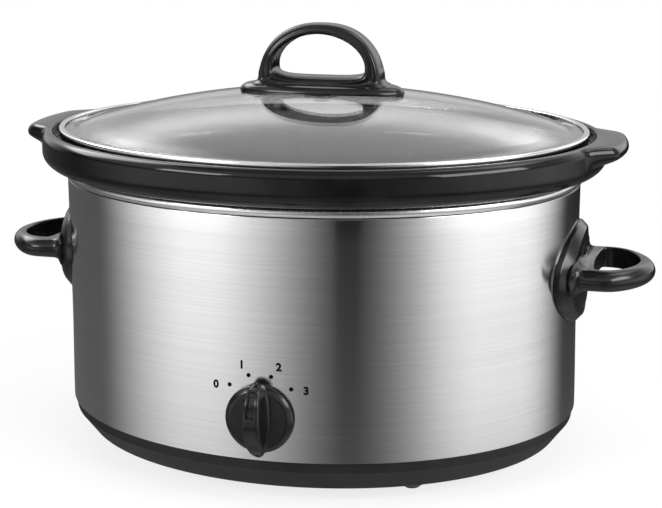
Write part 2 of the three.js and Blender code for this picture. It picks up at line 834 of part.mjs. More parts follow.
function handleScrew(name, side, height) {
  const shape = screw(handleScrewRadius, handleScrewLength, handleScrewHeadRadius, handleScrewHeadHeight);
  const mesh = piece(name, shape, galvanised);
  mesh.rotation.y = side * quarterTurn;
  const inside = ovalX(halfLength - housingWall, handleScrewHeadRadius) * facetShare;
  mesh.position.set(side * (inside - seat), 0, height);
  return mesh;
}

// Control knob, modelled with its back at 0 and its front along +Z, then turned to face -Y
const knobBack = halfDepth + knobClearance;
const shaftFront = knobBack + knobHollow + shaftInKnob;
const shaftRear = halfDepth - housingWall - shaftInSwitch;

const wingPower = 3;
const pointerPower = 2.5;
const tailPower = 1.45;
const wingShares = [
  [0, 0], [1, 0], [1, 0.9], [0.97, 0.96], [0.9, 1], [0.74, 1], [0.55, 1], [0.3, 1], [0, 1],
];

// The wing's face is crowned: it falls steeply at the end that points and gently at its tail.
function wingCrown(along) {
  const power = along > 0 ? pointerPower : tailPower;
  const share = (1 - Math.min(Math.abs(along), 1) ** power) ** (1 / power);
  return wingEndHeight + (wingHeight - wingEndHeight) * share;
}

function controlKnob() {
  const disc = turned([
    [0, 0], [knobRadius, 0], [knobRadius, knobSkirtHeight - knobBevel],
    [knobRadius - knobBevel, knobSkirtHeight], [0, knobSkirtHeight + knobBevel / 2],
  ], discSides);
  const wing = reshaped(turned(wingShares, discSides), (point) => {
    const spread = Math.hypot(point.x, point.y) || 1;
    const up = point.z;
    const halfLong = THREE.MathUtils.lerp(wingBaseHalfLength, wingFaceHalfLength, up);
    const halfWide = THREE.MathUtils.lerp(wingBaseWidth, wingFaceWidth, up) / 2;
    const along = spread * squared(point.y / spread, wingPower);
    point.set(halfWide * spread * squared(point.x / spread, wingPower), halfLong * along, up * wingCrown(along));
  });
  const hollow = turned([
    [0, -overrun], [knobRadius - knobShell, -overrun], [knobRadius - knobShell, knobHollow], [0, knobHollow],
  ], discSides);
  const grooveLength = wingFaceHalfLength - grooveStart;
  const groove = new THREE.BoxGeometry(grooveWidth, grooveLength, 1, 1, cornerSteps, 1);
  reshaped(groove, (point) => {
    const y = point.y + grooveStart + grooveLength / 2;
    const floor = wingCrown(y / wingFaceHalfLength) - grooveDepth;
    point.set(point.x, y, point.z > 0 ? wingHeight + overrun : floor);
  });
  const socket = bar(shaftRadius + seat, [0, 0, -overrun], [0, 0, knobHollow + shaftInKnob + seat]);
  const mesh = piece('control_knob', cut(joined(disc, wing), hollow, groove, socket), blackPlastic);
  mesh.rotation.x = quarterTurn;
  mesh.position.set(0, -knobBack, dialHeight);
  return mesh;
}

function switchShaft() {
  const shape = bar(shaftRadius, [0, -shaftFront, dialHeight], [0, -shaftRear, dialHeight]);
  const flat = block(
    [-shaftRadius, -shaftFront - overrun, dialHeight + shaftRadius / 2],
    [shaftRadius, -knobBack, dialHeight + shaftRadius + overrun],
  );
  return piece('switch_shaft', cut(shape, flat), galvanised);
}

// Rotary switch: its front is moulded to the inside of the wrap, its tabs point down
const switchBack = halfDepth - housingWall - switchDepth;
const tabPlaces = [-tabSpacing / 2, tabSpacing / 2];

function switchBody() {
  const bottom = dialHeight - switchHeight / 2;
  const top = bottom + switchHeight;
  const bodyBox = block(
    [-switchWidth / 2, -halfDepth, bottom], [switchWidth / 2, -switchBack, top],
  );
  const inside = ovalColumn(halfLength - housingWall - seat, bottom - overrun, top + overrun);
  const bore = bar(shaftRadius + seat, [0, -halfDepth, dialHeight], [0, -shaftRear + seat, dialHeight]);
  const pilots = switchScrewPlaces.map((x) => bar(
    switchScrewRadius + seat, [x, -halfDepth, dialHeight],
    [x, -halfDepth + switchScrewLength, dialHeight],
  ));
  const tabs = tabPlaces.map((x) => block(
    [x - tabWidth / 2, -switchBack - tabSetback - tabThickness, bottom - tabLength],
    [x + tabWidth / 2, -switchBack - tabSetback, bottom + overrun],
  ));
  const trimmed = solid(bodyBox).intersect(solid(inside));
  const shape = cut(joined(geometryOf(trimmed), ...tabs), bore, ...pilots);
  return piece('rotary_switch', shape, phenolic);
}

function switchScrew(name, x) {
  const length = switchScrewLength - seat;
  const shape = screw(switchScrewRadius, length, switchScrewHeadRadius, switchScrewHeadHeight);
  const mesh = piece(name, shape, galvanised);
  mesh.rotation.x = -quarterTurn;
  mesh.position.set(x, -ovalY(halfLength, x) - seat, dialHeight);
  return mesh;
}

// Thermal fuse held under the well in a folded clip
const fuseHeight = wellBottom - seat - fuseClipSheet - seat - fuseRadius;

function thermalFuse() {
  const ends = [-fuseLength / 2, fuseLength / 2].map((y) => [fuseOffsetX, y, fuseHeight]);
  return piece('thermal_fuse', bar(fuseRadius, ...ends), nylon);
}

function fuseClip() {
  const gap = fuseRadius + seat;
  const out = gap + fuseClipSheet;
  const wings = fuseClipWidth / 2;
  const low = [fuseOffsetX - out, -wings, fuseHeight - gap];
  const high = [fuseOffsetX + out, wings, fuseHeight + out];
  const slot = block(
    [fuseOffsetX - gap, -wings - overrun, fuseHeight - gap - overrun],
    [fuseOffsetX + gap, wings + overrun, fuseHeight + gap],
  );
  return piece('fuse_clip', cut(block(low, high), slot), galvanised);
}

// Two-way terminal block on the tray floor
const blockBottom = trayFloorTop + seat;
const blockBores = [-blockLength / 4, blockLength / 4];
const bladeHeight = blockBottom + blockHeight / 2;

function terminalBlock() {
  const shape = block(
    [-blockLength / 2, blockOffsetY - blockDepth / 2, blockBottom],
    [blockLength / 2, blockOffsetY + blockDepth / 2, blockBottom + blockHeight],
  );
  const bores = blockBores.map((x) => bar(
    leadRadius + holeClearance,
    [x, blockOffsetY - blockDepth / 2 - overrun, bladeHeight],
    [x, blockOffsetY + blockDepth / 2 + overrun, bladeHeight],
  ));
  return piece('terminal_block', cut(shape, ...bores), nylon);
}

// Cable gland through the back of the wrap, and the ring that holds it from inside
const glandRingTop = ovalY(halfLength - housingWall, glandFlangeRadius) * facetShare - halfDepth - seat;

function glandPart(name, outlines, material) {
  const mesh = piece(name, turned(outlines, smallSides), material);
  mesh.rotation.x = -quarterTurn;
  mesh.position.set(0, halfDepth, glandHeight);
  return mesh;
}

function cableGland() {
  const inner = glandRingTop - glandNutThickness - seat;
  const outer = seat + glandFlangeThickness;
  return glandPart('cable_gland', [
    [glandBoreRadius, inner], [glandNeckRadius, inner], [glandNeckRadius, seat],
    [glandFlangeRadius, seat], [glandFlangeRadius, outer / 2], [glandNeckRadius, outer],
    [glandBoreRadius, outer], [glandBoreRadius, inner],
  ], mattPlastic);
}

function glandRing() {
  const bottom = glandRingTop - glandNutThickness;
  const bore = glandNeckRadius + seat;
  return glandPart('gland_ring', [
    [bore, bottom], [glandFlangeRadius, bottom], [glandFlangeRadius, glandRingTop], [bore, glandRingTop],
    [bore, bottom],
  ], nylon);
}

// Leads between the block, the switch, the fuse and the heater. Each runs over the tray's floor, clear
// of the bolt and the pegs of the feet, and rises where it meets the heater, the fuse or the switch.
const tabTip = dialHeight - switchHeight / 2 - tabLength;
const tabY = -switchBack - tabSetback - tabThickness / 2;
const blockFront = blockOffsetY - blockDepth / 2;
const leadFloor = trayFloorTop + leadFloorGap + leadRadius;
const heaterLeadX = heaterGap / 2 + leadPlug;
const heaterLeadY = ovalY((wellOuter + blanketInner) / 2, heaterLeadX) * facetShare;
const fuseEnd = fuseLength / 2 + seat;
const feedShares = [[-0.34, 0.3], [-0.4, -0.3], [-0.26, -0.66]];
const heatShares = [[0.4, -0.7], [0.92, -0.42], [1, 0], [0.86, 0.42], [0.5, 0.8]];
const returnShares = [[-0.06, 1, 0.6], [0.26, 0.84, 0.55], [0.62, 0.42, 0.65]];
const fuseShares = [[0.7, -0.34, 0.3], [0.6, -0.12, 0], [0.4, 0.16, 0]];

function leads() {
  const reachX = fuseOffsetX + leadRun;
  const reachY = halfDepth - switchDepth;
  const rise = fuseHeight - leadFloor;
  const route = (path) => path.map(([x, y, up = 0]) => [x * reachX, y * reachY, leadFloor + up * rise]);
  const intoBlock = (x) => [-leadRun, -leadRun / 2, leadPlug].map((y) => [x, blockFront + y, bladeHeight]);
  const underTab = (x) => [seat, leadPlug].map((drop) => [x, tabY, tabTip - drop]);
  const underHeater = (x) => [seat, leadRun, 2 * leadRun]
    .map((drop) => [x, heaterLeadY, heaterBottom - drop]);
  const overFloor = (x, y) => [x, y, leadFloor + leadRun];
  const [leftTab, rightTab] = tabPlaces;
  const [leftBore, rightBore] = blockBores;
  return [
    ['switch_feed_lead', redSleeve, [
      ...underTab(leftTab), ...route(feedShares).reverse(), ...intoBlock(leftBore),
    ]],
    ['heater_feed_lead', redSleeve, [
      ...underTab(rightTab), ...route(heatShares), overFloor(heaterLeadX + leadPlug, reachY),
      ...underHeater(heaterLeadX).reverse(),
    ]],
    ['heater_return_lead', whiteSleeve, [
      ...underHeater(-heaterLeadX), ...route(returnShares), [fuseOffsetX, fuseEnd + leadPlug, fuseHeight],
      [fuseOffsetX, fuseEnd, fuseHeight],
    ]],
    ['fuse_lead', whiteSleeve, [
      [fuseOffsetX, -fuseEnd, fuseHeight], [fuseOffsetX, -fuseEnd - leadPlug, fuseHeight],
      ...route(fuseShares), ...intoBlock(rightBore),
    ]],
  ].map(([name, material, points]) => piece(name, lead(points), material));
}

const cooker = new THREE.Group();
cooker.position.y = axisY;
cooker.add(
  outerHousing(), rimTrim(), heatingWell(), heaterBand(),
  heaterStrap('heater_strap_lower', heaterBottom + strapInset),
  heaterStrap('heater_strap_upper', heaterTop - strapInset - strapHeight),
  insulationBlanket(), baseTray(), tieBracket(), tieBolt(), tieNut(),
  crock(), lidBand(), lidGlass(), lidHandle(),
  ringPlate('lid_seal', lidScrewBore, lidWasherRadius, sealBottom, lidSealThickness, silicone),
  ringPlate('lid_washer', lidScrewBore, lidWasherRadius, washerBottom, lidWasherThickness, polishedSteel),
  lidScrew(),
  sideHandle('right_handle', 0), sideHandle('left_handle', 2 * quarterTurn),
  controlKnob(), switchShaft(), switchBody(),
  thermalFuse(), fuseClip(), terminalBlock(), cableGland(), glandRing(),
  ...leads(),
);
footPlaces.forEach(([x, y], i) => cooker.add(foot(`foot_${i + 1}`, x, y)));
switchScrewPlaces.forEach((x, i) => cooker.add(switchScrew(`switch_screw_${i + 1}`, x)));
for (const [side, label] of [[-1, 'left'], [1, 'right']]) {
  handleScrewHeights.forEach((height, i) => {
    cooker.add(handleScrew(`${label}_handle_screw_${i + 1}`, side, height));
  });
}

export default cooker;
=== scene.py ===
# %% [markdown]
# # An oval slow cooker, built piece by piece
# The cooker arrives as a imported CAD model: plain solids on four moving bodies. This script dresses
# that model. It builds a fine mesh for every piece that the eye reaches, gives every piece a finish
# made of nodes, and sets up the studio. Lengths are in millimetres, measured from the axis of the
# cooker's oval, and become metres only where a mesh is made.

# %% Load the frame
import math

import bmesh
import bpy
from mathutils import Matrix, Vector


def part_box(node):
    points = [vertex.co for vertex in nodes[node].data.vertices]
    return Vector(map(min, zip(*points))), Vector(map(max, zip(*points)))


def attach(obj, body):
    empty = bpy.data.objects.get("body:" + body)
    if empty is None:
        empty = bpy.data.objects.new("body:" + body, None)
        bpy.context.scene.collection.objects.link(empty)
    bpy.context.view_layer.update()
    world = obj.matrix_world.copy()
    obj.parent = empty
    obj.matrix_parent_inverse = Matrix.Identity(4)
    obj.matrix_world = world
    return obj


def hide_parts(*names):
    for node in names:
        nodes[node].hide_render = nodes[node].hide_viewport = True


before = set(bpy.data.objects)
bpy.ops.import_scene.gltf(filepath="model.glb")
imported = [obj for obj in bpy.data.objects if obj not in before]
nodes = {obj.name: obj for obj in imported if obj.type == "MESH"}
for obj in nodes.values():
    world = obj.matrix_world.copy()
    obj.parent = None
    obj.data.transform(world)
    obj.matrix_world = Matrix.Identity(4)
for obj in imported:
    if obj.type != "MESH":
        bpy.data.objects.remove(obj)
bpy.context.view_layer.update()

mm = 0.001
low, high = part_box("outer_housing")
axis_y = (low.y + high.y) / 2 / mm

# %% [markdown]
# ## The camera
# The photograph was taken from a little above and a little to the right of the control. A camera
# that stands a metre off with a long lens draws the ovals as flat as the photograph does. It looks
# at a point near the middle of the wrap, and its local Z axis points back along the line of sight.

# %% Camera
view_turn = 14.5
view_rise = 13.4
view_distance = 1010
view_height = 116.5
view_aside = 5.8


def outwards(turn_degrees, rise_degrees):
    """The direction at a compass angle from the front and an angle above the horizon."""
    turn_angle, rise_angle = math.radians(turn_degrees), math.radians(rise_degrees)
    level = math.cos(rise_angle)
    return Vector((math.sin(turn_angle) * level, -math.cos(turn_angle) * level, math.sin(rise_angle)))


back = outwards(view_turn, view_rise)
aim = Vector((0, axis_y, view_height)) + view_aside * outwards(view_turn + 90, 0)
camera_data = bpy.data.cameras.new("camera")
camera_data.lens = 87.0
camera_data.sensor_width = 36.0
camera_data.clip_end = 60
camera = bpy.data.objects.new("camera", camera_data)
camera.location = (aim + view_distance * back) * mm
camera.rotation_euler = back.to_track_quat("Z", "Y").to_euler()
bpy.context.scene.collection.objects.link(camera)
bpy.context.scene.camera = camera
print("camera at", [round(v, 3) for v in camera.location])

# %% [markdown]
# ## Shader sums in Python
# A finish is a sum of patterns, and long node trees are hard to read. Here a small class wraps an
# output socket, so that `1 - 0.3 * grain` adds the Math nodes by itself. Everything else goes
# through one method, which makes a node, sets it up and links what it is given.

# %% Node helpers
class Wire:
    """An output socket that Python's operators work on."""

    def __init__(self, tree, socket):
        self.tree = tree
        self.socket = socket

    def __add__(self, other):
        return self.tree.sum("ADD", self, other)

    def __radd__(self, other):
        return self.tree.sum("ADD", other, self)

    def __sub__(self, other):
        return self.tree.sum("SUBTRACT", self, other)

    def __rsub__(self, other):
        return self.tree.sum("SUBTRACT", other, self)

    def __mul__(self, other):
        return self.tree.sum("MULTIPLY", self, other)

    def __rmul__(self, other):
        return self.tree.sum("MULTIPLY", other, self)

    def __neg__(self):
        return self.tree.sum("MULTIPLY", self, -1)

    def __abs__(self):
        return self.tree.sum("ABSOLUTE", self)


class Tree:
    """One node tree, and the few things this script asks of it."""

    def __init__(self, tree):
        self.tree = tree

    def add(self, kind, settings=None, values=None, out=0):
        """Make a node, set it up, fill its sockets with numbers or wires, and return an output."""
        node = self.tree.nodes.new(kind)
        for name, setting in (settings or {}).items():
            setattr(node, name, setting)
        for name, value in (values or {}).items():
            if isinstance(value, Wire):
                self.tree.links.new(value.socket, node.inputs[name])
            else:
                node.inputs[name].default_value = value
        return Wire(self, node.outputs[out])

    def sum(self, operation, left, right=0.0):
        return self.add("ShaderNodeMath", {"operation": operation}, {0: left, 1: right})

    def ramp(self, value, start, end, low=0.0, high=1.0):
        """A smooth step from low to high while the value goes from start to end."""
        settings = {"interpolation_type": "SMOOTHSTEP", "clamp": True}
        return self.add("ShaderNodeMapRange", settings, {0: value, 1: start, 2: end, 3: low, 4: high})

    def ray(self, kind):
        """One for a kind of ray, such as the camera's own, and nothing for the others."""
        return self.add("ShaderNodeLightPath", out=f"Is {kind} Ray")

    def end(self, kind, result):
        """Finish the tree with an output node that shows the result."""
        self.tree.links.new(result.socket, self.tree.nodes.new(kind).inputs["Surface"])

    def mix(self, share, first, second):
        """A colour between two others."""
        return self.add("ShaderNodeMix", {"data_type": "RGBA"}, {0: share, 6: first, 7: second}, out=2)

    def places(self, scale=(1, 1, 1)):
        """Points of the piece in metres, stretched by a scale."""
        place = self.add("ShaderNodeTexCoord", out="Object")
        return self.add("ShaderNodeVectorMath", {"operation": "MULTIPLY"}, {0: place, 1: scale})

    def noise(self, scale, detail=2.0, stretch=(1, 1, 1), roughness=0.5):
        values = {"Vector": self.places(stretch), "Scale": scale, "Detail": detail, "Roughness": roughness}
        return self.add("ShaderNodeTexNoise", {}, values)

    def parts(self, vector):
        """The X, Y and Z of a vector."""
        return [self.add("ShaderNodeSeparateXYZ", {}, {0: vector}, out=i) for i in range(3)]


print("node helpers are ready")

# %% [markdown]
# ## The studio
# Bright metal shows its surroundings, so the surroundings are part of the picture. The steel of the
# photograph shows two broad soft boxes, one front left and one right, and a dark slot between them.
# They are painted into the world as smooth steps of direction. `turn` is the compass angle from the
# front and `rise` the angle above the horizon, both in degrees, and each row of numbers says where a
# light starts, is full, begins to fade and ends.

# %% Directions of the world
world = bpy.data.worlds.new("studio")
bpy.context.scene.world = world
world.use_nodes = True
world.node_tree.nodes.clear()
sky = Tree(world.node_tree)


def plateau(value, start, full, fade, end):
    """Up from nothing at start to one at full, and down again from fade to end."""
    return sky.ramp(value, start, full) * sky.ramp(value, end, fade)


direction = sky.add("ShaderNodeTexCoord", out="Generated")
east, north, up = sky.parts(direction)
degree = 180 / math.pi
turn = degree * sky.sum("ARCTAN2", east, -north)
rise = degree * sky.sum("ARCSINE", up)
print("turn and rise are ready")

# %% [markdown]
# The boxes stand low, over a table that shows their light faintly. Above them runs a fainter strip
# that the rolled edges show. Behind the cooker there is a pale wall, dimmer straight behind, where
# the flat glass would turn white, and two stronger banks high up beside it draw the bright line
# along the crock's rim.

# %% Lights of the world
box_strength = 1.52
box_above = 0.17
gap_strength = 0.012
left_spill = 0.06
left_turns = (-100.0, -46.0, -40.0, 18.0)
right_turns = (17.0, 76.0, 98.0, 146.0)
slot_turns = (11.2, 12.2, 20.6, 21.8)
slot_depth = 0.95
strip_rises = (14.0, 30.0, 48.0, 66.0)
wall_strength = 1.6
high_wall_strength = 1.1
left_bank_strength = 7.0
right_bank_strength = 3.5

both_boxes = plateau(turn, *left_turns) + plateau(turn, *right_turns)
both_boxes += sky.ramp(turn, -60.0, -100.0, 0.0, left_spill)
height_share = sky.ramp(rise, -32.0, -7.0) * sky.ramp(rise, -3.0, 14.0, 1.0, box_above)
table = sky.ramp(rise, -24.0, -50.0) * (0.24 + 0.42 * both_boxes)
table += sky.ramp(rise, -9.0, -22.0, gap_strength, 0.09)
strip = sky.ramp(turn, 40.0, -20.0, 0.85, 1.0) * sky.ramp(abs(turn), 130.0, 95.0)
strip *= plateau(rise, *strip_rises)
slot = plateau(turn, *slot_turns) * sky.ramp(rise, -17.5, -13.0) * sky.ramp(rise, 16.0, 8.0)
behind = outwards(view_turn + 180, 0)
facing = behind.x * east + behind.y * north
wall = sky.ramp(facing, 0.97, 0.8, 0.35, 1.0) * sky.ramp(abs(turn), 100.0, 150.0)
wall *= plateau(rise, -4.0, 6.0, 20.0, 36.0)
high_wall = sky.ramp(abs(turn), 110.0, 160.0) * plateau(rise, 15.0, 30.0, 50.0, 64.0)
left_bank = plateau(turn, -152.0, -134.0, -106.0, -94.0) * plateau(rise, 22.0, 30.0, 48.0, 58.0)
right_bank = plateau(turn, 100.0, 116.0, 140.0, 156.0) * plateau(rise, 40.0, 52.0, 70.0, 82.0)

surroundings = (box_strength * height_share * both_boxes + table + strip) * (1 - slot_depth * slot)
surroundings += wall_strength * wall + high_wall_strength * high_wall
surroundings += left_bank_strength * left_bank + right_bank_strength * right_bank
surroundings += sky.ramp(rise, 40.0, 78.0, 0.0, 0.3)
print("surroundings painted for metal")

# %% [markdown]
# Only reflections show these lights. The camera gets plain white instead, also through glass, so the
# backdrop is white paper. Matt surfaces get an even grey from the world, and soft lamps do the
# modelling.

# %% World
ambient = 0.5
glossy = sky.ray("Glossy")
seen = sky.sum("MINIMUM", sky.ray("Camera") + glossy + sky.ray("Transmission"), 1.0)
backdrop = 1 + glossy * (surroundings - 1)
light_level = ambient + seen * (backdrop - ambient)
shine = sky.add("ShaderNodeBackground", {}, {"Color": (1, 1, 1, 1), "Strength": light_level})
sky.end("ShaderNodeOutputWorld", shine)
print("world painted with", len(world.node_tree.nodes), "nodes")

# %% [markdown]
# Area lamps stand where the soft boxes are, higher up. A small one on the left and a long one on the
# right give the black plastic its soft highlights. A third hangs overhead and throws the soft shadow
# on the floor. The glass would mirror it as a bright square, so glossy rays don't see it.

# %% Lamps
lamp_distance = 2.2
lamp_aim_up = 0.12


def soft_lamp(name, turn_degrees, rise_degrees, width, height, power):
    data = bpy.data.lights.new(name, "AREA")
    data.shape = "RECTANGLE"
    data.size = width
    data.size_y = height
    data.energy = power
    lamp = bpy.data.objects.new(name, data)
    away = outwards(turn_degrees, rise_degrees)
    lamp.location = away * lamp_distance + Vector((0, 0, lamp_aim_up))
    lamp.rotation_euler = away.to_track_quat("Z", "Y").to_euler()
    lamp.visible_camera = False
    bpy.context.scene.collection.objects.link(lamp)
    return lamp


soft_lamp("key_lamp", -40, 27, 0.9, 0.6, 20)
soft_lamp("side_lamp", 70, 26, 1.5, 0.9, 44)
top_lamp = soft_lamp("top_lamp", 10, 84, 1.5, 1.0, 18)
top_lamp.visible_glossy = False
print("lamps hung")

# %% [markdown]
# The floor is a plain pale sheet. Part of its white is its own glow, so that it reads as white paper
# while the cooker's shadow still shows on it close by. The glow takes over further out, where it
# meets the white behind it. Metal is shown the painted surroundings instead.

# %% Floor
floor_half = 12.0
paper_tone = 0.86
glow_near = 0.12
glow_far = 0.36
glow_least = 0.8
floor_mesh = bpy.data.meshes.new("floor")
corners = [(x * floor_half, y * floor_half, 0) for x, y in ((-1, -1), (1, -1), (1, 1), (-1, 1))]
floor_mesh.from_pydata(corners, [], [(0, 1, 2, 3)])
floor = bpy.data.objects.new("floor", floor_mesh)
bpy.context.scene.collection.objects.link(floor)
floor.visible_glossy = False

floor_paper = bpy.data.materials.new("floor_paper")
floor_paper.use_nodes = True
floor_paper.node_tree.nodes.clear()
paper = Tree(floor_paper.node_tree)
matt = paper.add("ShaderNodeBsdfDiffuse", {}, {"Color": (paper_tone, paper_tone, paper_tone, 1)})
glow = paper.add("ShaderNodeEmission", {}, {"Color": (1, 1, 1, 1), "Strength": 1.0})
floor_seen = paper.ray("Camera") + paper.ray("Glossy") + paper.ray("Transmission")
floor_distance = paper.add("ShaderNodeVectorMath", {"operation": "LENGTH"}, {0: paper.places()}, out="Value")
glow_share = paper.ramp(floor_distance, glow_near, glow_far, glow_least, 1.0)
paper_mix = paper.add("ShaderNodeMixShader", {}, {0: glow_share * floor_seen, 1: matt, 2: glow})
paper.end("ShaderNodeOutputMaterial", paper_mix)
floor_mesh.materials.append(floor_paper)
bpy.context.scene.view_settings.view_transform = "Standard"
print("floor laid")

# %% [markdown]
# ## Finishes
# Every finish starts from the same shader and adds what its own surface has. `finish` sets what is
# the same all over a piece, links what changes from place to place and keeps the result by name.

# %% Finish helper
def grey(level):
    return (level, level, level, 1)


finishes = {}


def finish(name, constants, colour=None, roughness=None, bumps=None, bump_strength=0.1, bump_depth=0.0001):
    """A material from constants, and from wires for what varies over the surface."""
    material = bpy.data.materials.new(name + "_finish")
    finishes[name] = material
    material.use_nodes = True
    tree = material.node_tree
    shader = tree.nodes["Principled BSDF"]
    for socket, value in constants.items():
        shader.inputs[socket].default_value = value
    paint = Tree(tree)
    if colour:
        tree.links.new(colour(paint).socket, shader.inputs["Base Color"])
    if roughness:
        tree.links.new(roughness(paint).socket, shader.inputs["Roughness"])
    if bumps:
        values = {"Strength": bump_strength, "Distance": bump_depth, "Height": bumps(paint)}
        tree.links.new(paint.add("ShaderNodeBump", {}, values).socket, shader.inputs["Normal"])


print("ready to mix finishes")

# %% [markdown]
# ### Brushed steel
# The wrap is a stainless sheet that was drawn through abrasive belts, which left fine scratches all
# the way round. Noise that is stretched far along X and Y and squeezed in Z gives level streaks on
# every side of an upright wall without a seam. They shift the tone, the gloss and the relief a
# little. Scratches spread a highlight across themselves, so the gloss is also made uneven by angle.
# The lid's band is polished after it is folded. The trim is left as it was rolled, so it is duller.

# %% Steel
def streaks(paint, fine, coarse):
    """Level scratches: two stretched noises, between 0 and 1."""
    thin = paint.noise(1.0, 3.0, (9, 9, fine), 0.6)
    broad = paint.noise(1.0, 2.0, (3, 3, coarse), 0.5)
    return 0.8 * thin + 0.2 * broad


def plain_steel(name, dark, light, gloss, **relief):
    """Bright steel that isn't brushed, a little cloudy in tone and gloss."""
    finish(
        name, {"Metallic": 1.0},
        colour=lambda paint: paint.mix(paint.noise(30.0, 3.0), grey(dark), grey(light)),
        roughness=lambda paint: gloss + 0.08 * paint.noise(420.0, 3.0, (1, 1, 4)),
        **relief,
    )


finish(
    "brushed_steel",
    {"Metallic": 1.0, "Anisotropic": 0.92, "Anisotropic Rotation": 0.25},
    colour=lambda paint: paint.mix(
        paint.ramp(streaks(paint, 1500, 260), 0.3, 0.7), grey(0.68), grey(0.74)),
    roughness=lambda paint: 0.14 + 0.05 * streaks(paint, 2100, 420),
    bumps=lambda paint: streaks(paint, 2600, 500),
    bump_strength=0.03, bump_depth=0.00005,
)
plain_steel(
    "polished_steel", 0.74, 0.83, 0.1,
    bumps=lambda paint: paint.noise(900.0, 2.0, (0.2, 0.2, 3)), bump_strength=0.05, bump_depth=0.00004,
)
plain_steel("rolled_steel", 0.77, 0.84, 0.22)
finish(
    "galvanised_steel",
    {"Metallic": 0.95},
    colour=lambda paint: paint.mix(
        paint.add("ShaderNodeTexVoronoi", {}, {"Vector": paint.places(), "Scale": 190.0}, out="Color"),
        (0.36, 0.37, 0.38, 1), (0.58, 0.59, 0.6, 1)),
    roughness=lambda paint: 0.34 + 0.2 * paint.noise(140.0, 4.0),
    bumps=lambda paint: paint.noise(700.0, 3.0),
    bump_strength=0.15,
)
print("steels mixed")

# %% [markdown]
# ### Black plastics, glaze and rubber
# The handles are a gloss moulding: almost black, with a faint unevenness from the mould that breaks
# up the highlight. The tray is a coarser moulding with a spark-eroded grain. The crock's glaze is
# glass over clay, so it is darker and sharper, with a slow waviness. The feet are dull grey rubber.

# %% Moulded finishes
def moulding(name, dark, light, gloss, dullness, grain, grain_strength, extra=None):
    """A plastic or rubber: two tones of cloudy colour, cloudy gloss and a fine grain."""
    finish(
        name,
        extra or {},
        colour=lambda paint: paint.mix(paint.ramp(paint.noise(55.0, 4.0), 0.3, 0.7), dark, light),
        roughness=lambda paint: gloss + dullness * paint.noise(160.0, 4.0),
        bumps=lambda paint: paint.noise(grain, 2.0),
        bump_strength=grain_strength,
    )


moulding("black_plastic", grey(0.006), grey(0.009), 0.17, 0.05, 900.0, 0.02, {"Specular IOR Level": 0.3})
moulding("tray_plastic", grey(0.008), grey(0.012), 0.36, 0.14, 2400.0, 0.3, {"Specular IOR Level": 0.3})
moulding("grey_rubber", grey(0.085), grey(0.12), 0.62, 0.2, 1500.0, 0.4)
moulding("phenolic", (0.07, 0.03, 0.016, 1), (0.12, 0.055, 0.03, 1), 0.4, 0.2, 800.0, 0.2)
moulding("nylon", (0.66, 0.63, 0.55, 1), (0.76, 0.73, 0.66, 1), 0.35, 0.2, 900.0, 0.1)
moulding("silicone", (0.62, 0.63, 0.6, 1), (0.72, 0.73, 0.7, 1), 0.5, 0.2, 700.0, 0.1)
moulding("red_sleeve", (0.26, 0.02, 0.015, 1), (0.36, 0.035, 0.025, 1), 0.45, 0.2, 1500.0, 0.2)
moulding("white_sleeve", (0.62, 0.61, 0.56, 1), (0.75, 0.74, 0.7, 1), 0.45, 0.2, 1500.0, 0.2)
finish(
    "mica", {},
    colour=lambda paint: paint.mix(
        paint.noise(90.0, 5.0, (1, 1, 3)), (0.34, 0.24, 0.12, 1), (0.55, 0.42, 0.24, 1)),
    roughness=lambda paint: 0.35 + 0.3 * paint.noise(200.0, 3.0),
    bumps=lambda paint: paint.add("ShaderNodeTexVoronoi", {}, {"Vector": paint.places(), "Scale": 260.0}),
    bump_strength=0.3,
)
finish(
    "glass_fibre", {"Roughness": 0.95},
    colour=lambda paint: paint.mix(paint.noise(500.0, 5.0), (0.62, 0.59, 0.5, 1), (0.82, 0.8, 0.72, 1)),
    bumps=lambda paint: paint.noise(900.0, 5.0, (1, 1, 0.25)),
    bump_strength=0.9, bump_depth=0.0005,
)
finish(
    "black_glaze", {"Specular IOR Level": 0.24},
    colour=lambda paint: paint.mix(paint.ramp(paint.noise(38.0, 5.0), 0.35, 0.7), grey(0.0035), grey(0.007)),
    roughness=lambda paint: 0.07 + 0.05 * paint.noise(120.0, 3.0),
    bumps=lambda paint: paint.noise(45.0, 2.0),
    bump_strength=0.06, bump_depth=0.0006,
)
finish(
    "clear_glass",
    {"Transmission Weight": 1.0, "IOR": 1.45, "Specular IOR Level": 0.12},
    colour=lambda paint: paint.mix(paint.noise(20.0, 2.0), (0.96, 0.975, 0.975, 1), (0.985, 0.99, 0.99, 1)),
    roughness=lambda paint: 0.005 * paint.noise(60.0, 2.0),
)
print("mouldings, glaze and glass mixed")

# %% [markdown]
# ## Surfaces from rings
# Nearly every piece here is a profile carried round the oval. A surface is kept as a list of points
# and faces. `skin` joins neighbouring rings with four-sided faces, and a ring of a single point
# closes the surface like the pole of a globe.

# %% Mesh helpers
class Surface:
    """Points in millimetres from the oval's axis, and the faces between them."""

    def __init__(self):
        self.points = []
        self.faces = []

    def skin(self, rings, closed=False, around=True):
        """Join neighbouring rings, or lines where around is false. Closed joins the last to the first."""
        loops = []
        for places in rings:
            start = len(self.points)
            self.points += places
            loops.append(range(start, len(self.points)))
        pairs = list(zip(loops, loops[1:])) + ([(loops[-1], loops[0])] if closed else [])
        for first, second in pairs:
            count = max(len(first), len(second))
            for i in range(count if around else count - 1):
                j = (i + 1) % count
                corners = [first[i % len(first)], first[j % len(first)]]
                corners += [second[j % len(second)], second[i % len(second)]]
                face = list(dict.fromkeys(corners))
                if len(face) > 2:
                    self.faces.append(face)
        return self


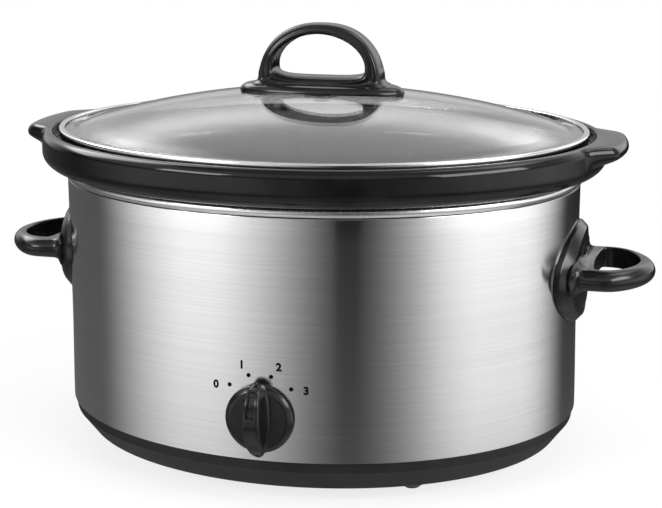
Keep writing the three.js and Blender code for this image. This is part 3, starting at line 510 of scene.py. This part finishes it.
def make_piece(name, surface, slot, body, replaced, look=None, crease=32):
    """A mesh object on its body, in the place of the CAD nodes it stands for.

    It gets the finish of its material slot, or another look where one is named.
    """
    mesh = bpy.data.meshes.new(name)
    mesh.from_pydata([(x * mm, (y + axis_y) * mm, z * mm) for x, y, z in surface.points], [], surface.faces)
    shape = bmesh.new()
    shape.from_mesh(mesh)
    bmesh.ops.remove_doubles(shape, verts=shape.verts, dist=0.000005)
    bmesh.ops.recalc_face_normals(shape, faces=shape.faces)
    shape.to_mesh(mesh)
    shape.free()
    mesh.shade_smooth()
    mesh.set_sharp_from_angle(angle=math.radians(crease))
    mesh.materials.append(finishes[look or slot])
    piece = bpy.data.objects.new(name, mesh)
    bpy.context.scene.collection.objects.link(piece)
    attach(piece, body)
    if replaced:
        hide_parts(*replaced)
    print(name, "has", len(mesh.polygons), "faces")


def bend(out, up, reach, lift, start, end, steps=8):
    """Points of an elliptical bend in a profile, from one angle in degrees to another."""
    angles = [math.radians(start + (end - start) * i / steps) for i in range(steps + 1)]
    return [(out + reach * math.cos(a), up + lift * math.sin(a)) for a in angles]


def rounded(corners, closed=True, steps=4):
    """A profile whose corners (out, up, rounding) are eased by a small curve."""
    line = []
    count = len(corners)
    for i, (out, up, rounding) in enumerate(corners):
        here = Vector((out, up))
        ends = not closed and i in (0, count - 1)
        before = Vector(corners[i - 1][:2]) - here
        after = Vector(corners[(i + 1) % count][:2]) - here
        if not rounding or ends:
            line.append((out, up))
            continue
        first = here + before.normalized() * min(rounding, before.length * 0.49)
        last = here + after.normalized() * min(rounding, after.length * 0.49)
        for k in range(steps + 1):
            t = k / steps
            line.append(tuple((1 - t) ** 2 * first + 2 * t * (1 - t) * here + t ** 2 * last))
    return line


squeeze = 24.5
wrap_out = 160.0
oval_sides = 208


def circle(sides):
    """Angles in even steps all the way round."""
    return [2 * math.pi * i / sides for i in range(sides)]


def oval_depth(out, x=0.0):
    """How far the oval that reaches out along X reaches along Y, at a place x."""
    return max(out - squeeze, out / 2) * math.sqrt(1 - (x / out) ** 2)


def oval(out, up):
    """One ring of the cooker's family of ovals."""
    if out <= 0:
        return [(0.0, 0.0, up)]
    return [(out * math.cos(a), oval_depth(out) * math.sin(a), up) for a in circle(oval_sides)]


def round_ring(out, up, sides=48, middle=(0.0, 0.0)):
    if out <= 0:
        return [(middle[0], middle[1], up)]
    return [(middle[0] + out * math.cos(a), middle[1] + out * math.sin(a), up) for a in circle(sides)]


def oval_piece(name, profile, closed, *details, ring=oval, **options):
    rings = [ring(out, up) for out, up in profile]
    make_piece(name, Surface().skin(rings, closed), *details, **options)


def on_wrap(side, x, lift, z):
    """A place that is lifted off the wrap, on its back where side is 1 and on its front where it is -1."""
    return (x, side * (oval_depth(wrap_out, x) + lift), z)


def eased(value, start, end):
    """A smooth step from nothing at start to one at end."""
    t = min(max((value - start) / (end - start), 0.0), 1.0)
    return t * t * (3 - 2 * t)


def interpolate(table, value):
    """A value read off a table of (place, value) pairs in rising order."""
    for (a, first), (b, second) in zip(table, table[1:]):
        if value <= b:
            return first + (second - first) * max(value - a, 0) / (b - a)
    return table[-1][1]


print("mesh helpers are ready")

# %% [markdown]
# ## The steel wrap
# On the real cooker the wrap is one thin sheet, bent into an oval and hemmed at both edges. It is
# built here as a closed sheet 1 mm thick whose edges are eased, because a hem catches a thin line
# of light along the black tray. Its two ends stand a little wider at the foot than at the top.

# %% Wrap
wrap_low = 28.0
wrap_high = 168.2
wrap_in = wrap_out - 1
wrap_rows = 12
foot_flare = 0.9
flare_top = 90.0


def flared(out, up):
    """An oval whose ends lean out towards the foot."""
    share = 1 + foot_flare * eased(flare_top - up, 0, flare_top - wrap_low) / wrap_out
    return [(x * share, y, z) for x, y, z in oval(out, up)]


def wrap_rise(row):
    """Heights in even rows, a millimetre clear of both hems."""
    return 1 + (wrap_high - wrap_low - 2) * row / wrap_rows


wrap_profile = rounded([
    (wrap_in, wrap_high, 0), (wrap_in, wrap_low, 0.3), (wrap_out, wrap_low, 0),
], closed=False)
wrap_profile += [(wrap_out, wrap_low + wrap_rise(row)) for row in range(wrap_rows)]
wrap_profile += rounded([
    (wrap_out, wrap_low + 3, 0), (wrap_out, wrap_high, 0.3), (wrap_in, wrap_high, 0.3),
    (wrap_in, wrap_high - 1, 0),
], closed=False)[1:-1]
wrap_profile += [(wrap_in, wrap_high - wrap_rise(row)) for row in range(wrap_rows + 1)]
oval_piece("steel_wrap", wrap_profile, True, "brushed_steel", "heating_base", ["outer_housing"], ring=flared)

# %% [markdown]
# The sheet's two ends meet behind, beside the middle, in a lap that is spot-welded. The outer end
# lies half a millimetre proud.

# %% Lap seam
seam_left = 54.0
seam_width = 11.0
seam_proud = 0.5
seam_low = wrap_low + 0.8
seam_high = wrap_high - 0.8
weld_count = 7
weld_margin = 14

seam_line = rounded([
    (seam_left, -0.4, 0), (seam_left, seam_proud, 0.2), (seam_left + seam_width, seam_proud, 0.2),
    (seam_left + seam_width, -0.4, 0),
], closed=False, steps=3)
seam_rings = [[on_wrap(1, x, lift, z) for x, lift in seam_line] for z in (seam_low, seam_high)]
seam_surface = Surface().skin(seam_rings)
seam_surface.faces += [list(range(len(seam_line))), list(range(len(seam_line), 2 * len(seam_line)))]
weld_pitch = (seam_high - seam_low - 2 * weld_margin) / (weld_count - 1)
for k in range(weld_count):
    middle = (seam_left + seam_width / 2, seam_low + weld_margin + k * weld_pitch)
    spot = []
    for out, lift in ((0, 0.32), (1.2, 0.34), (1.9, 0.56), (2.5, 0.52), (2.8, 0.4)):
        spot.append([on_wrap(1, x, lift, z) for x, z, _ in round_ring(out, 0, 20, middle)])
    seam_surface.skin(spot)
make_piece("wrap_lap_seam", seam_surface, "brushed_steel", "heating_base", [])

# %% [markdown]
# ## The rolled trim
# A bead caps the wrap and carries the heating pan's flange. It is a rolled strip: half round
# outside, with a step inside.

# %% Trim
trim_low = 168.5
bead_radius = 2.9
trim_out = 161.6
trim_profile = [(156.8, trim_low)]
trim_profile += bend(trim_out - bead_radius, trim_low + bead_radius, bead_radius, bead_radius, -90, 90, 20)
trim_profile += [(158.3, 174.0), (158.3, 172.3), (156.8, 172.3)]
oval_piece("rolled_trim", trim_profile, True, "polished_steel", "heating_base", ["rim_trim"],
           look="rolled_steel")

# %% [markdown]
# ## The heating pan
# The crock hangs in a drawn pan of coated steel. It shows only when the crock is out, so its mesh is
# a plain profile with round corners, and its spangled finish does the rest.

# %% Pan
pan_profile = [(0, 57.0)] + bend(113.0, 93.0, 36, 36, -90, 0, 10)
pan_profile += [(149.0, 172.6), (157.9, 172.6), (157.9, 173.6)]
pan_profile += bend(150.0, 171.6, 2, 2, 90, 180, 4)
pan_profile += bend(113.0, 93.0, 35, 35, 0, -90, 10) + [(0, 58.0)]
oval_piece("heating_pan", pan_profile, False, "galvanised_steel", "heating_base", ["heating_well"])

# %% [markdown]
# ## The black tray and its feet
# The tray is one moulding: an upright band under the wrap, then a taper down to the floor plate.
# The feet are rubber plugs with a soft edge.

# %% Tray
tray_profile = rounded([
    (0, 11.0, 0), (145.4, 11.0, 1.5), (156.7, 21.0, 1.5), (156.7, 38.7, 0.4), (158.7, 38.7, 0.4),
    (158.7, 27.7, 0.3), (159.0, 27.7, 0.5), (158.4, 21.6, 0.8), (157.7, 20.8, 0.8), (148.4, 8.4, 1.8),
    (132.0, 8.4, 0.6), (131.0, 9.2, 0.6), (120.0, 9.2, 0.6), (119.0, 8.6, 0.6), (116.0, 8.6, 0.6),
    (115.0, 9.2, 0.6), (14.0, 9.2, 0.5), (13.0, 8.4, 0.5), (6.0, 8.4, 0.4), (0, 8.4, 0),
], closed=False, steps=5)
oval_piece("base_moulding", tray_profile, False, "tray_plastic", "heating_base", ["base_tray"], ring=flared)

foot_profile = rounded([
    (0, 0.0, 0), (4.0, 0.0, 0.6), (11.0, 5.7, 1.2), (11.0, 8.1, 0.5), (3.6, 8.1, 0), (3.6, 11.3, 0),
    (4.6, 11.3, 0.3), (2.6, 14.3, 0.3), (0, 14.3, 0),
], closed=False)
for number, (x, y) in enumerate([(-76.5, -83), (76.5, -83), (-76.5, 83), (76.5, 83)], 1):
    rings = [round_ring(out, up, 48, (x, y)) for out, up in foot_profile]
    foot = Surface().skin(rings)
    make_piece(f"rubber_foot_{number}", foot, "grey_rubber", "heating_base", [f"foot_{number}"])

# %% [markdown]
# ## The crock
# The pot is slip-cast stoneware. Its rim stands upright, turns over a round edge into a recess for
# the lid, and grows a flat ear at each end. The ears are made by pushing the rim's end points
# outwards by a share: full across the ear's tip, fading to nothing at its root, and fading down
# the wall too, so that the underside slopes back like a gusset.

# %% Crock
rim_out = 175.0
rim_wall_low = 184.6
rim_top = 197.2
rim_rounding = 5.4
lip_rounding = 1.2
ear_reach = 12.8
ear_tip = 27.0
ear_root = 44.0
recess_out = 168.4
ledge_up = 192.4
gutter_out = 165.4
gutter_up = 190.4
ear_underside = [
    (rim_wall_low, 0.0), (186.0, 0.3), (187.4, 0.58), (188.5, 0.78), (189.4, 0.9), (190.4, 0.97),
    (191.6, 1.0),
]


def plain(points):
    return [(out, up, 0.0) for out, up in points]


crock_profile = plain(
    [(0, 64.4), (88, 64.4), (90, 63.6), (91.5, 63.0), (105, 63.0)]
    + bend(110.5, 96.0, 33, 33, -90, 0, 12)
    + [(144.4, 130.0), (145.0, 170.6)]
    + bend(149.0, 170.6, 4, 4, 180, 90, 5)[1:]
    + bend(162.0, rim_wall_low, 13, 10, -90, 0, 14)
)
crock_profile += [(rim_out, up, share) for up, share in ear_underside[1:]]
crock_profile += [
    (out, up, 1.0)
    for out, up in bend(rim_out - rim_rounding, rim_top - rim_rounding, rim_rounding, rim_rounding, 0, 90, 12)
]
recess = rounded([
    (recess_out, rim_top - 2, 0), (recess_out, gutter_up, 0.8), (gutter_out, gutter_up, 0.8),
    (gutter_out, ledge_up, 0.8), (158.0, ledge_up, 0),
], closed=False)
inside = rounded([(148.57, 191.23, 0), (137.5, 180.4, 5), (137.0, 130.0, 0)], closed=False)
crock_profile += plain(
    bend(recess_out + lip_rounding, rim_top - lip_rounding, lip_rounding, lip_rounding, 90, 180, 5)
    + recess[1:]
    + bend(151.4, ledge_up - 4, 4, 4, 90, 135, 4)
    + inside[1:]
    + bend(109.0, 97.5, 27, 27, 0, -90, 12) + [(0, 70.5)]
)


def crock_ring(out, up, share, sides=256, crowd=0.3):
    """An oval with its points crowded towards the ends, where the ears need them."""
    if out <= 0:
        return [(0.0, 0.0, up)]
    ring = []
    for even in circle(sides):
        a = even - crowd * math.sin(2 * even)
        x, y = out * math.cos(a), oval_depth(out) * math.sin(a)
        push = ear_reach * share * (1 - eased(abs(y), ear_tip, ear_root))
        ring.append((x + math.copysign(push, x), y, up))
    return ring


crock_surface = Surface().skin([crock_ring(*corner) for corner in crock_profile])
make_piece("stoneware_crock", crock_surface, "black_glaze", "lift_out_crock", ["crock"], crease=40)

# %% [markdown]
# ## The lid
# A domed pane of tempered glass sits in a rolled steel band. The pane is a closed shell with a real
# thickness, because glass shows both of its faces, and its edge turns flat with a soft bend.

# %% Lid glass and band
glass_edge = 163.1
glass_low = 194.2
glass_thick = 3.6
dome_out = 156.5
dome_rise = 23.4
flat_share = 0.1
shoulder = 0.93
shoulder_power = 1.25
screw_hole = 3.4
dome_steps = 30
glass_aspect = (glass_edge - squeeze) / glass_edge


def dome_height(share):
    share = max(share, flat_share)
    return dome_rise * (1 - share ** 2) / (1 - flat_share ** 2)


def glass_ring(out, up):
    return [(x, y * glass_aspect, z) for x, y, z in round_ring(out, up, oval_sides)]


dome_line = []
for i in range(dome_steps + 1):
    share = 1 - i / dome_steps
    lift = dome_height(share)
    if share > shoulder:
        lift = dome_height(shoulder) * ((1 - share) / (1 - shoulder)) ** shoulder_power
    dome_line.append((dome_out * share, lift))
pane = [(glass_edge, glass_low), (glass_edge, glass_low + glass_thick)]
pane += [(out, glass_low + glass_thick + lift) for out, lift in dome_line if out > screw_hole]
pane += [(screw_hole, glass_low + glass_thick + dome_rise), (screw_hole, glass_low + dome_rise)]
pane += [(out, glass_low + lift) for out, lift in reversed(dome_line) if out > screw_hole]
oval_piece("domed_glass", pane, True, "clear_glass", "lid", ["lid_glass"], ring=glass_ring)

band_profile = rounded([
    (160.8, 192.8, 0.3), (164.4, 192.8, 0.9), (164.4, 199.3, 1.2), (160.8, 199.1, 0.5), (160.8, 198.1, 0.2),
    (163.4, 198.1, 0), (163.4, 193.9, 0), (160.8, 193.9, 0),
], steps=5)
oval_piece("lid_steel_band", band_profile, True, "polished_steel", "lid", ["lid_band"])

# %% [markdown]
# ## The lid's handle
# An arch with a finger hole stands on an oval flange. Round the hole runs a raised lip, outside it a
# shallow channel, and then the arch rounds over to its crown. The section is drawn as a line through
# a few marks, from the middle of the hole's wall over the lip to the crown, and carried round the
# hole. The sill under the fingers is crowned. Near the flange the surface is pushed out along its own
# direction by the curve of a fillet, so that the arch grows out of the flange as a moulding does.

# %% Curves and fillets
def squared(value, power):
    return math.copysign(abs(value) ** (2 / power), value)


def flowing(marks, steps):
    """A smooth line through marks, with a number of steps between each two."""
    line = []
    for i in range(len(marks) - 1):
        around = [marks[max(i - 1, 0)], marks[i], marks[i + 1], marks[min(i + 2, len(marks) - 1)]]
        p0, p1, p2, p3 = (Vector(mark) for mark in around)
        for k in range(steps):
            t = k / steps
            line.append(tuple(0.5 * (
                2 * p1 + (p2 - p0) * t + (2 * p0 - 5 * p1 + 4 * p2 - p3) * t ** 2
                + (3 * p1 - p0 - 3 * p2 + p3) * t ** 3
            )))
    line.append(tuple(marks[-1]))
    return line


def fillet(gap, radius):
    """How far a fillet stands out at a gap from the surface that it runs into."""
    gap = min(max(gap, 0.0), radius)
    return radius - math.sqrt(radius ** 2 - (radius - gap) ** 2)


def point_normals(surface):
    """The outward direction at each point of a surface, as mesh tools see it."""
    shape = bmesh.new()
    corners = [shape.verts.new(place) for place in surface.points]
    for face in surface.faces:
        shape.faces.new([corners[i] for i in face])
    bmesh.ops.recalc_face_normals(shape, faces=shape.faces)
    shape.normal_update()
    directions = [corner.normal.copy() for corner in shape.verts]
    shape.free()
    return directions


print("curve helpers are ready")

# %% Lid handle
flange_length = 52.0
flange_depth = 22.5
flange_thick = 4.8
dome_top = glass_low + glass_thick + dome_rise
flange_line = flowing([
    (0.0, 0.84), (0.3, 0.84), (0.52, 0.8), (0.7, 0.74), (0.82, 0.66), (0.9, 0.54), (0.955, 0.36),
    (0.985, 0.14), (1.0, -0.12), (1.0, -0.4), (0.985, -0.62), (0.94, -0.78),
], 3)
flange_table = [(out, up) for out, up in flange_line if up > 0]
arch_base = dome_top - glass_thick
arch_half = 39.6
arch_high = 44.1
arch_power = 2.4
arch_depth = 25
arch_taper = 8
grip_half = 29.4
grip_low = 9.9
grip_high = 27.8
sill_crown = 2.4
sill_half_depth = 11
lip_width = 2.7
channel_depth = 0.85
crown_power = 2.6
flange_seat = 0.3
arch_seat = 0.5
arch_fillet = 1.2
arch_fillet_more = 2.6
grip_floor = 0.28 * grip_high
grip_mid = grip_low + grip_floor
grip_top_bow = 1.9
grip_foot_bow = 4
arch_steps = 152


def flange_rise(x, up):
    """The flange stands a little higher beside the arch's roots than in front of its middle."""
    return up * flange_thick + 0.6 * eased(abs(x), 24, 36) * eased(up, 0.1, 0.6)


def flange_top(x, y):
    share = math.hypot(x / flange_length, y / flange_depth)
    return dome_top + flange_rise(x, interpolate(flange_table, share))


def arch_half_depth(up):
    return (arch_depth - arch_taper * up / arch_high) / 2


def arch_outline(inner):
    """Where the line from the hole's middle through a point of its edge leaves the arch."""
    middle = Vector((0, grip_mid))
    near, far = 1.0, 9.0
    for _ in range(40):
        t = (near + far) / 2
        place = middle.lerp(inner, t)
        inside = place.y > 0 and (
            abs(place.x / arch_half) ** arch_power + abs(place.y / arch_high) ** arch_power < 1)
        near, far = (t, far) if inside else (near, t)
    return middle.lerp(inner, near)


def arch_section(width, half_depth):
    """From the middle of the hole's wall over the lip and the channel to the crown."""
    lip = min(lip_width, 0.45 * width)
    rest = width - lip
    ease = 0.75 * lip
    dip = min(channel_depth, 0.12 * rest)
    marks = [(0.0, 0.0), (0.0, 0.45 * half_depth)]
    for a in (0, 30, 60, 90):
        a = math.radians(a)
        marks.append((ease * (1 - math.cos(a)), half_depth - ease * (1 - math.sin(a))))
    marks += [(lip, half_depth - 0.12), (lip + 0.16 * rest, half_depth - 0.75 * dip)]
    marks += [(lip + 0.3 * rest, half_depth - dip)]
    body = half_depth - 0.85 * dip
    marks += [
        (lip + (0.5 + 0.5 * out) * rest, body * (1 - out ** crown_power) ** (1 / crown_power))
        for out in (0.0, 0.35, 0.6, 0.78, 0.9, 0.97, 1.0)
    ]
    return flowing(marks, 3)


arch = Surface()
arch_rings = []
for a in circle(arch_steps):
    c, s = math.cos(a), math.sin(a)
    bow, reach = (grip_top_bow, grip_high - grip_floor) if s > 0 else (grip_foot_bow, grip_floor)
    inner = Vector((grip_half * squared(c, bow), grip_mid + reach * squared(s, bow)))
    outer = arch_outline(inner)
    across = outer - inner
    ahead = across.normalized()
    deep = arch_half_depth(inner.y)
    half = arch_section(across.length, deep)
    ring = []
    for out, forward in half + [(o, -f) for o, f in reversed(half[1:-1])]:
        place = inner + ahead * out
        ring.append((place.x, -forward * arch_half_depth(place.y) / deep, arch_base + place.y))
    arch_rings.append(ring)
arch.skin(arch_rings, closed=True)


def on_dome(x, y):
    """Height of the glass under a place."""
    share = math.hypot(x, y / glass_aspect) / dome_out
    return glass_low + glass_thick + dome_height(share)


for i, (x, y, z) in enumerate(arch.points):
    crown = sill_crown * max(1 - abs(y / sill_half_depth) ** 2.2, 0)
    crown *= eased(arch_base + grip_mid - z, 0, 6) * eased(z, arch_base + 2, arch_base + grip_low)
    arch.points[i] = (x, y, z + crown)
for i, direction_out in enumerate(point_normals(arch)):
    x, y, z = arch.points[i]
    radius = arch_fillet + arch_fillet_more * eased(abs(x), 24, 35)
    level = Vector((direction_out.x, direction_out.y, 0))
    push = level * fillet(z - flange_top(x, y), radius)
    arch.points[i] = (x + push.x, y + push.y, max(z, on_dome(x, y) + arch_seat))


def flange_ring(out, up):
    return [
        (x, y * flange_depth / flange_length, dome_top + flange_rise(x, up))
        for x, y, z in round_ring(out * flange_length, 0, 128)
    ]


flange_rings = [flange_ring(out, up) for out, up in flange_line]
flange_rings[-1] = [(x, y, max(z, on_dome(x, y) + flange_seat)) for x, y, z in flange_rings[-1]]
for share in (0.93, 0.6, 0.3, 0.0):
    flange_rings.append([(x, y, on_dome(x, y) + flange_seat) for x, y, _ in flange_ring(share, 0)])
arch.skin(flange_rings)
make_piece("lid_arch_handle", arch, "black_plastic", "lid", ["lid_handle"], crease=60)

# %% [markdown]
# ## The side handles
# Each is a crowned boss with two bevels that is moulded to the wrap, and a level loop with a finger
# hole. The boss is a half-shape in shares of its width, height and depth, laid over the curved wall.
# The loop narrows towards its root, so that its fillet lands on the boss inside the outer bevel.

# %% Side handles
boss_half_width = 44.5
boss_half_height = 30.5
boss_proud = 7.2
boss_flatness = 0.5
handle_up = 118.0
boss_up = 116.4
loop_reach = 47.0
loop_half_width = 45.0
loop_thick = 13.0
loop_tip = 9.4
loop_arm = 15.3
loop_behind = 9.0
loop_bow = 1.9
hole_back_bow = 5
root_narrow = 0.17
root_start = 27
root_run = 26
fillet_inside = 0.84
fillet_bury = 0.5
fillet_beside = 4.0
fillet_more_above = 2.5
boss_lift = 0.3
loop_lift = 0.6
boss_line = rounded([
    (1.0, 0.02, 0), (0.985, 0.26, 0.05), (0.86, 0.75, 0.035), (0.7, 0.8, 0.02), (0.65, 0.87, 0.03),
    (0.4, 0.96, 0.2), (0.0, 1.0, 0),
], closed=False, steps=6)
boss_table = sorted(boss_line)


def wall_at(y):
    return wrap_out * math.sqrt(1 - (y / (wrap_out - squeeze)) ** 2)


def boss_height(y, up):
    """How far the boss stands out at a height in its own terms. It is a little flatter than the wall."""
    return (boss_proud + boss_flatness * (wall_at(0) - wall_at(y))) * up


def boss_ring(out, up, sides=128):
    if out <= 0:
        return [(wall_at(0) + boss_height(0, up), 0.0, boss_up)]
    ring = []
    for a in circle(sides):
        y, z = boss_half_width * out * math.cos(a), boss_half_height * out * math.sin(a)
        ring.append((wall_at(y) + max(boss_height(y, up), boss_lift), y, boss_up + z))
    return ring


def boss_share(y, z):
    """Nothing at the boss's middle and one at its edge."""
    return math.hypot(y / boss_half_width, (z - boss_up) / boss_half_height)


def boss_face(y, z):
    share = boss_share(y, z)
    if share >= 1:
        return wall_at(min(abs(y), 130)) + boss_lift
    return wall_at(y) + boss_height(y, interpolate(boss_table, share))


loop_half = flowing([
    (0.0, 0.0), (0.0, 0.5), (0.0, 0.78), (0.02, 0.91), (0.06, 0.98), (0.12, 1.0), (0.22, 0.99),
    (0.4, 0.955), (0.57, 0.885), (0.73, 0.76), (0.87, 0.55), (0.965, 0.29), (1.0, 0.0),
], 3)
hole_back = wrap_out + boss_proud + 4.3
hole_front = wrap_out + loop_reach - loop_tip
hole_waist = hole_back + (hole_front - hole_back) / 4
loop_steps = 160


def side_handle_surface():
    loop = Surface()
    rings = []
    for a in circle(loop_steps):
        c, s = math.cos(a), math.sin(a)
        ahead = c > 0
        outer = Vector((
            wrap_out + (loop_reach if ahead else loop_behind) * squared(c, loop_bow),
            loop_half_width * squared(s, loop_bow),
        ))
        outer.y *= 1 - root_narrow * eased(wrap_out + root_start - outer.x, 0, root_run)
        reach = hole_front - hole_waist if ahead else hole_waist - hole_back
        inner = Vector((
            hole_waist + reach * squared(c, loop_bow if ahead else hole_back_bow),
            (loop_half_width - loop_arm) * squared(s, loop_bow),
        ))
        ring = []
        for out, lift in loop_half + [(o, -l) for o, l in reversed(loop_half[1:-1])]:
            place = inner.lerp(outer, out)
            ring.append((place.x, place.y, handle_up + lift * loop_thick / 2))
        rings.append(ring)
    loop.skin(rings, closed=True)
    for i, direction_out in enumerate(point_normals(loop)):
        x, y, z = loop.points[i]
        sideways = Vector((0, direction_out.y, direction_out.z))
        inside = min(fillet_inside / max(boss_share(y, z), 0.01), 1)
        gap = x - boss_face(y * inside, boss_up + (z - boss_up) * inside)
        radius = fillet_beside + fillet_more_above * abs(direction_out.z)
        push = sideways * fillet(gap + fillet_bury, radius)
        loop.points[i] = (max(x, wall_at(min(abs(y), 60)) + loop_lift), y + push.y, z + push.z)
    boss_rings = [boss_ring(out, up) for out, up in boss_line]
    back_rings = [boss_ring(out, 0.0) for out in (0.97, 0.6, 0.0)]
    loop.skin([*reversed(back_rings), *boss_rings])
    return loop


for name, side in (("right_loop_handle", 1), ("left_loop_handle", -1)):
    surface = side_handle_surface()
    surface.points = [(side * x, side * y, z) for x, y, z in surface.points]
    node = name.replace("loop_", "")
    make_piece(name, surface, "black_plastic", "heating_base", [node], crease=50)

# %% [markdown]
# ## The control knob
# A black disc with a bevelled edge and a tall wing across it. The wing is crowned along its length:
# it falls steeply at its nose and gently at its tail. Its flanks are drafted so that the mould
# releases, its edges are eased, and a groove in the front face shows where it points.

# %% Knob
dial_up = 53.3
knob_back = wrap_out - squeeze + 0.6
knob_radius = 19.8
wing_low = 4.4
wing_high = 19.0
wing_end = 5.0
wing_base_wide = 13.0
wing_face_wide = 9.0
wing_inset = 0.6
wing_sharpening = 0.3
groove_half = 2.6
groove_deep = 1.4
groove_start = 5.7
groove_fade = 15.5
groove_end = 19.0
# Each end of the wing has half its length at the base and at the face, the powers that round its
# outline along and across, and the power by which its face falls.
wing_nose = (22.6, 21.0, 2.3, 2.5, 2.5)
wing_tail = (21.8, 20.84, 2.0, 2.1, 1.45)


def knob_point(x, y, z):
    """From knob terms, with z towards the hand, to the cooker's."""
    return (x, -knob_back - z, dial_up + y)


disc_profile = rounded([
    (0, 2.6, 0), (17.6, 2.6, 0.3), (17.6, 0.0, 0.2), (knob_radius, 0.0, 0.4), (knob_radius, 2.4, 1.2),
    (16.9, 4.5, 0.9), (15.6, 4.6, 0.5), (0, 5.0, 0),
], closed=False)
disc_rings = [round_ring(out, up, 112) for out, up in disc_profile]
wing_flank = [
    (0.0, -1.6), (0.03, -1.1), (0.08, -0.6), (0.14, -0.2), (0.22, 0.0), (0.45, 0.0), (0.7, 0.0),
    (0.86, 0.02), (0.92, 0.12), (0.96, 0.32), (0.985, 0.6), (1.0, 1.0),
]


def wing_crown(along):
    """Height of the wing's face: it falls steeply where it points and gently at its tail."""
    power = (wing_nose if along > 0 else wing_tail)[-1]
    return wing_end + (wing_high - wing_end) * (1 - min(abs(along), 1.0) ** power) ** (1 / power)


def wing_section(theta):
    """A cut across the wing, from the disc up one flank, over the face and down the other."""
    c, s = math.cos(theta), math.sin(theta)
    base, top, power_along, power_across, _ = wing_nose if s > 0 else wing_tail
    half = []
    for share, inset in wing_flank:
        end_share = squared(s, power_along + wing_sharpening * share)
        height = wing_low + (wing_crown(end_share) - wing_low) * share
        half_long = base + (top - base) * share - wing_inset * max(inset, 0)
        half_wide = (wing_base_wide + (wing_face_wide - wing_base_wide) * height / wing_high) / 2 - inset
        half.append((half_wide * abs(squared(c, power_across)), half_long * end_share, height))
    edge, along, face = half[-1]
    groove = min(groove_half - eased(along, groove_start, groove_end), 0.7 * edge)
    depth = groove_deep * (1 - eased(along, groove_fade, groove_end)) if along > groove_start else 0.0
    half += [(groove + 0.1 * edge, along, face), (groove, along, face - 0.1 * depth)]
    half += [(groove * 0.97, along, face - depth), (0.0, along, face - depth)]
    return half + [(-x, y, z) for x, y, z in reversed(half[:-1])]


wing_steps = 88
nose_reach = wing_nose[1] - wing_inset
nose_power = wing_nose[2] + wing_sharpening
groove_angle = math.asin((groove_start / nose_reach) ** (nose_power / 2))
thetas = [-math.pi / 2 + math.pi * i / wing_steps for i in range(wing_steps + 1)]
thetas = [theta for theta in thetas if abs(theta - groove_angle) > 0.015]
thetas = sorted([*thetas, groove_angle - 0.003, groove_angle + 0.003])
knob_surface = Surface().skin(disc_rings)
knob_surface.skin([wing_section(theta) for theta in thetas], around=False)
knob_surface.points = [knob_point(*place) for place in knob_surface.points]
make_piece("control_dial", knob_surface, "black_plastic", "control", ["control_knob"], crease=35)

# %% [markdown]
# ## Marks round the knob
# The dial is printed on the steel: a dot for each setting and a plain number beside it. Blender's
# text gives the outline of a number. Its mesh is then bent onto the wall, a hair proud, as ink is.

# %% Dial marks
moulding("dial_ink", grey(0.001), grey(0.003), 0.6, 0.1, 2000.0, 0.05, {"Specular IOR Level": 0.05})
ink_height = 0.06
dots = [(-45, -26.3, 68.6), (-15, -10.6, 81.6), (15, 11.0, 81.6), (45, 26.3, 68.6)]
dot_orbit = 25.4
dot_radius = 1.25
cap_height = 4.5
cap_share = 0.72
stroke_gain = 0.3


for number, (turn_degrees, label_x, label_z) in enumerate(dots):
    a = math.radians(turn_degrees)
    centre = (dot_orbit * math.sin(a), dial_up + dot_orbit * math.cos(a))
    rings = []
    for out, lift in ((0, ink_height), (dot_radius, ink_height), (dot_radius, -0.05)):
        rings.append([on_wrap(-1, x, lift, z) for x, z, _ in round_ring(out, 0, 24, centre)])
    dot = Surface().skin(rings)
    make_piece(f"dial_dot_{number}", dot, "black_plastic", "heating_base", [], look="dial_ink")
    curve = bpy.data.curves.new(f"number_curve_{number}", "FONT")
    curve.body = str(number)
    curve.align_x = "CENTER"
    curve.size = cap_height / cap_share
    curve.offset = stroke_gain
    curve.extrude = ink_height
    curve.resolution_u = 6
    text = bpy.data.objects.new(f"number_text_{number}", curve)
    bpy.context.scene.collection.objects.link(text)
    shape = bpy.data.meshes.new_from_object(text)
    bpy.data.objects.remove(text)
    digits = Surface()
    digits.points = [on_wrap(-1, label_x + v.co.x, v.co.z, label_z + v.co.y) for v in shape.vertices]
    digits.faces = [list(face.vertices) for face in shape.polygons]
    make_piece(f"dial_number_{number}", digits, "black_plastic", "heating_base", [], look="dial_ink")

# %% [markdown]
# ## Finishes on the pieces that stay
# The pieces inside the base keep their CAD meshes. The name of a CAD material holds the name of its
# slot, which leads to the finish.

# %% Dress the rest
dressed = 0
for name, node in nodes.items():
    for place in node.material_slots:
        kind = next((slot for slot in finishes if place.material and slot in place.material.name), None)
        if kind:
            place.material = finishes[kind]
            dressed += 1
        else:
            print("no finish for", name, place.material.name if place.material else None)
print("dressed", dressed, "slots of", len(nodes), "nodes")
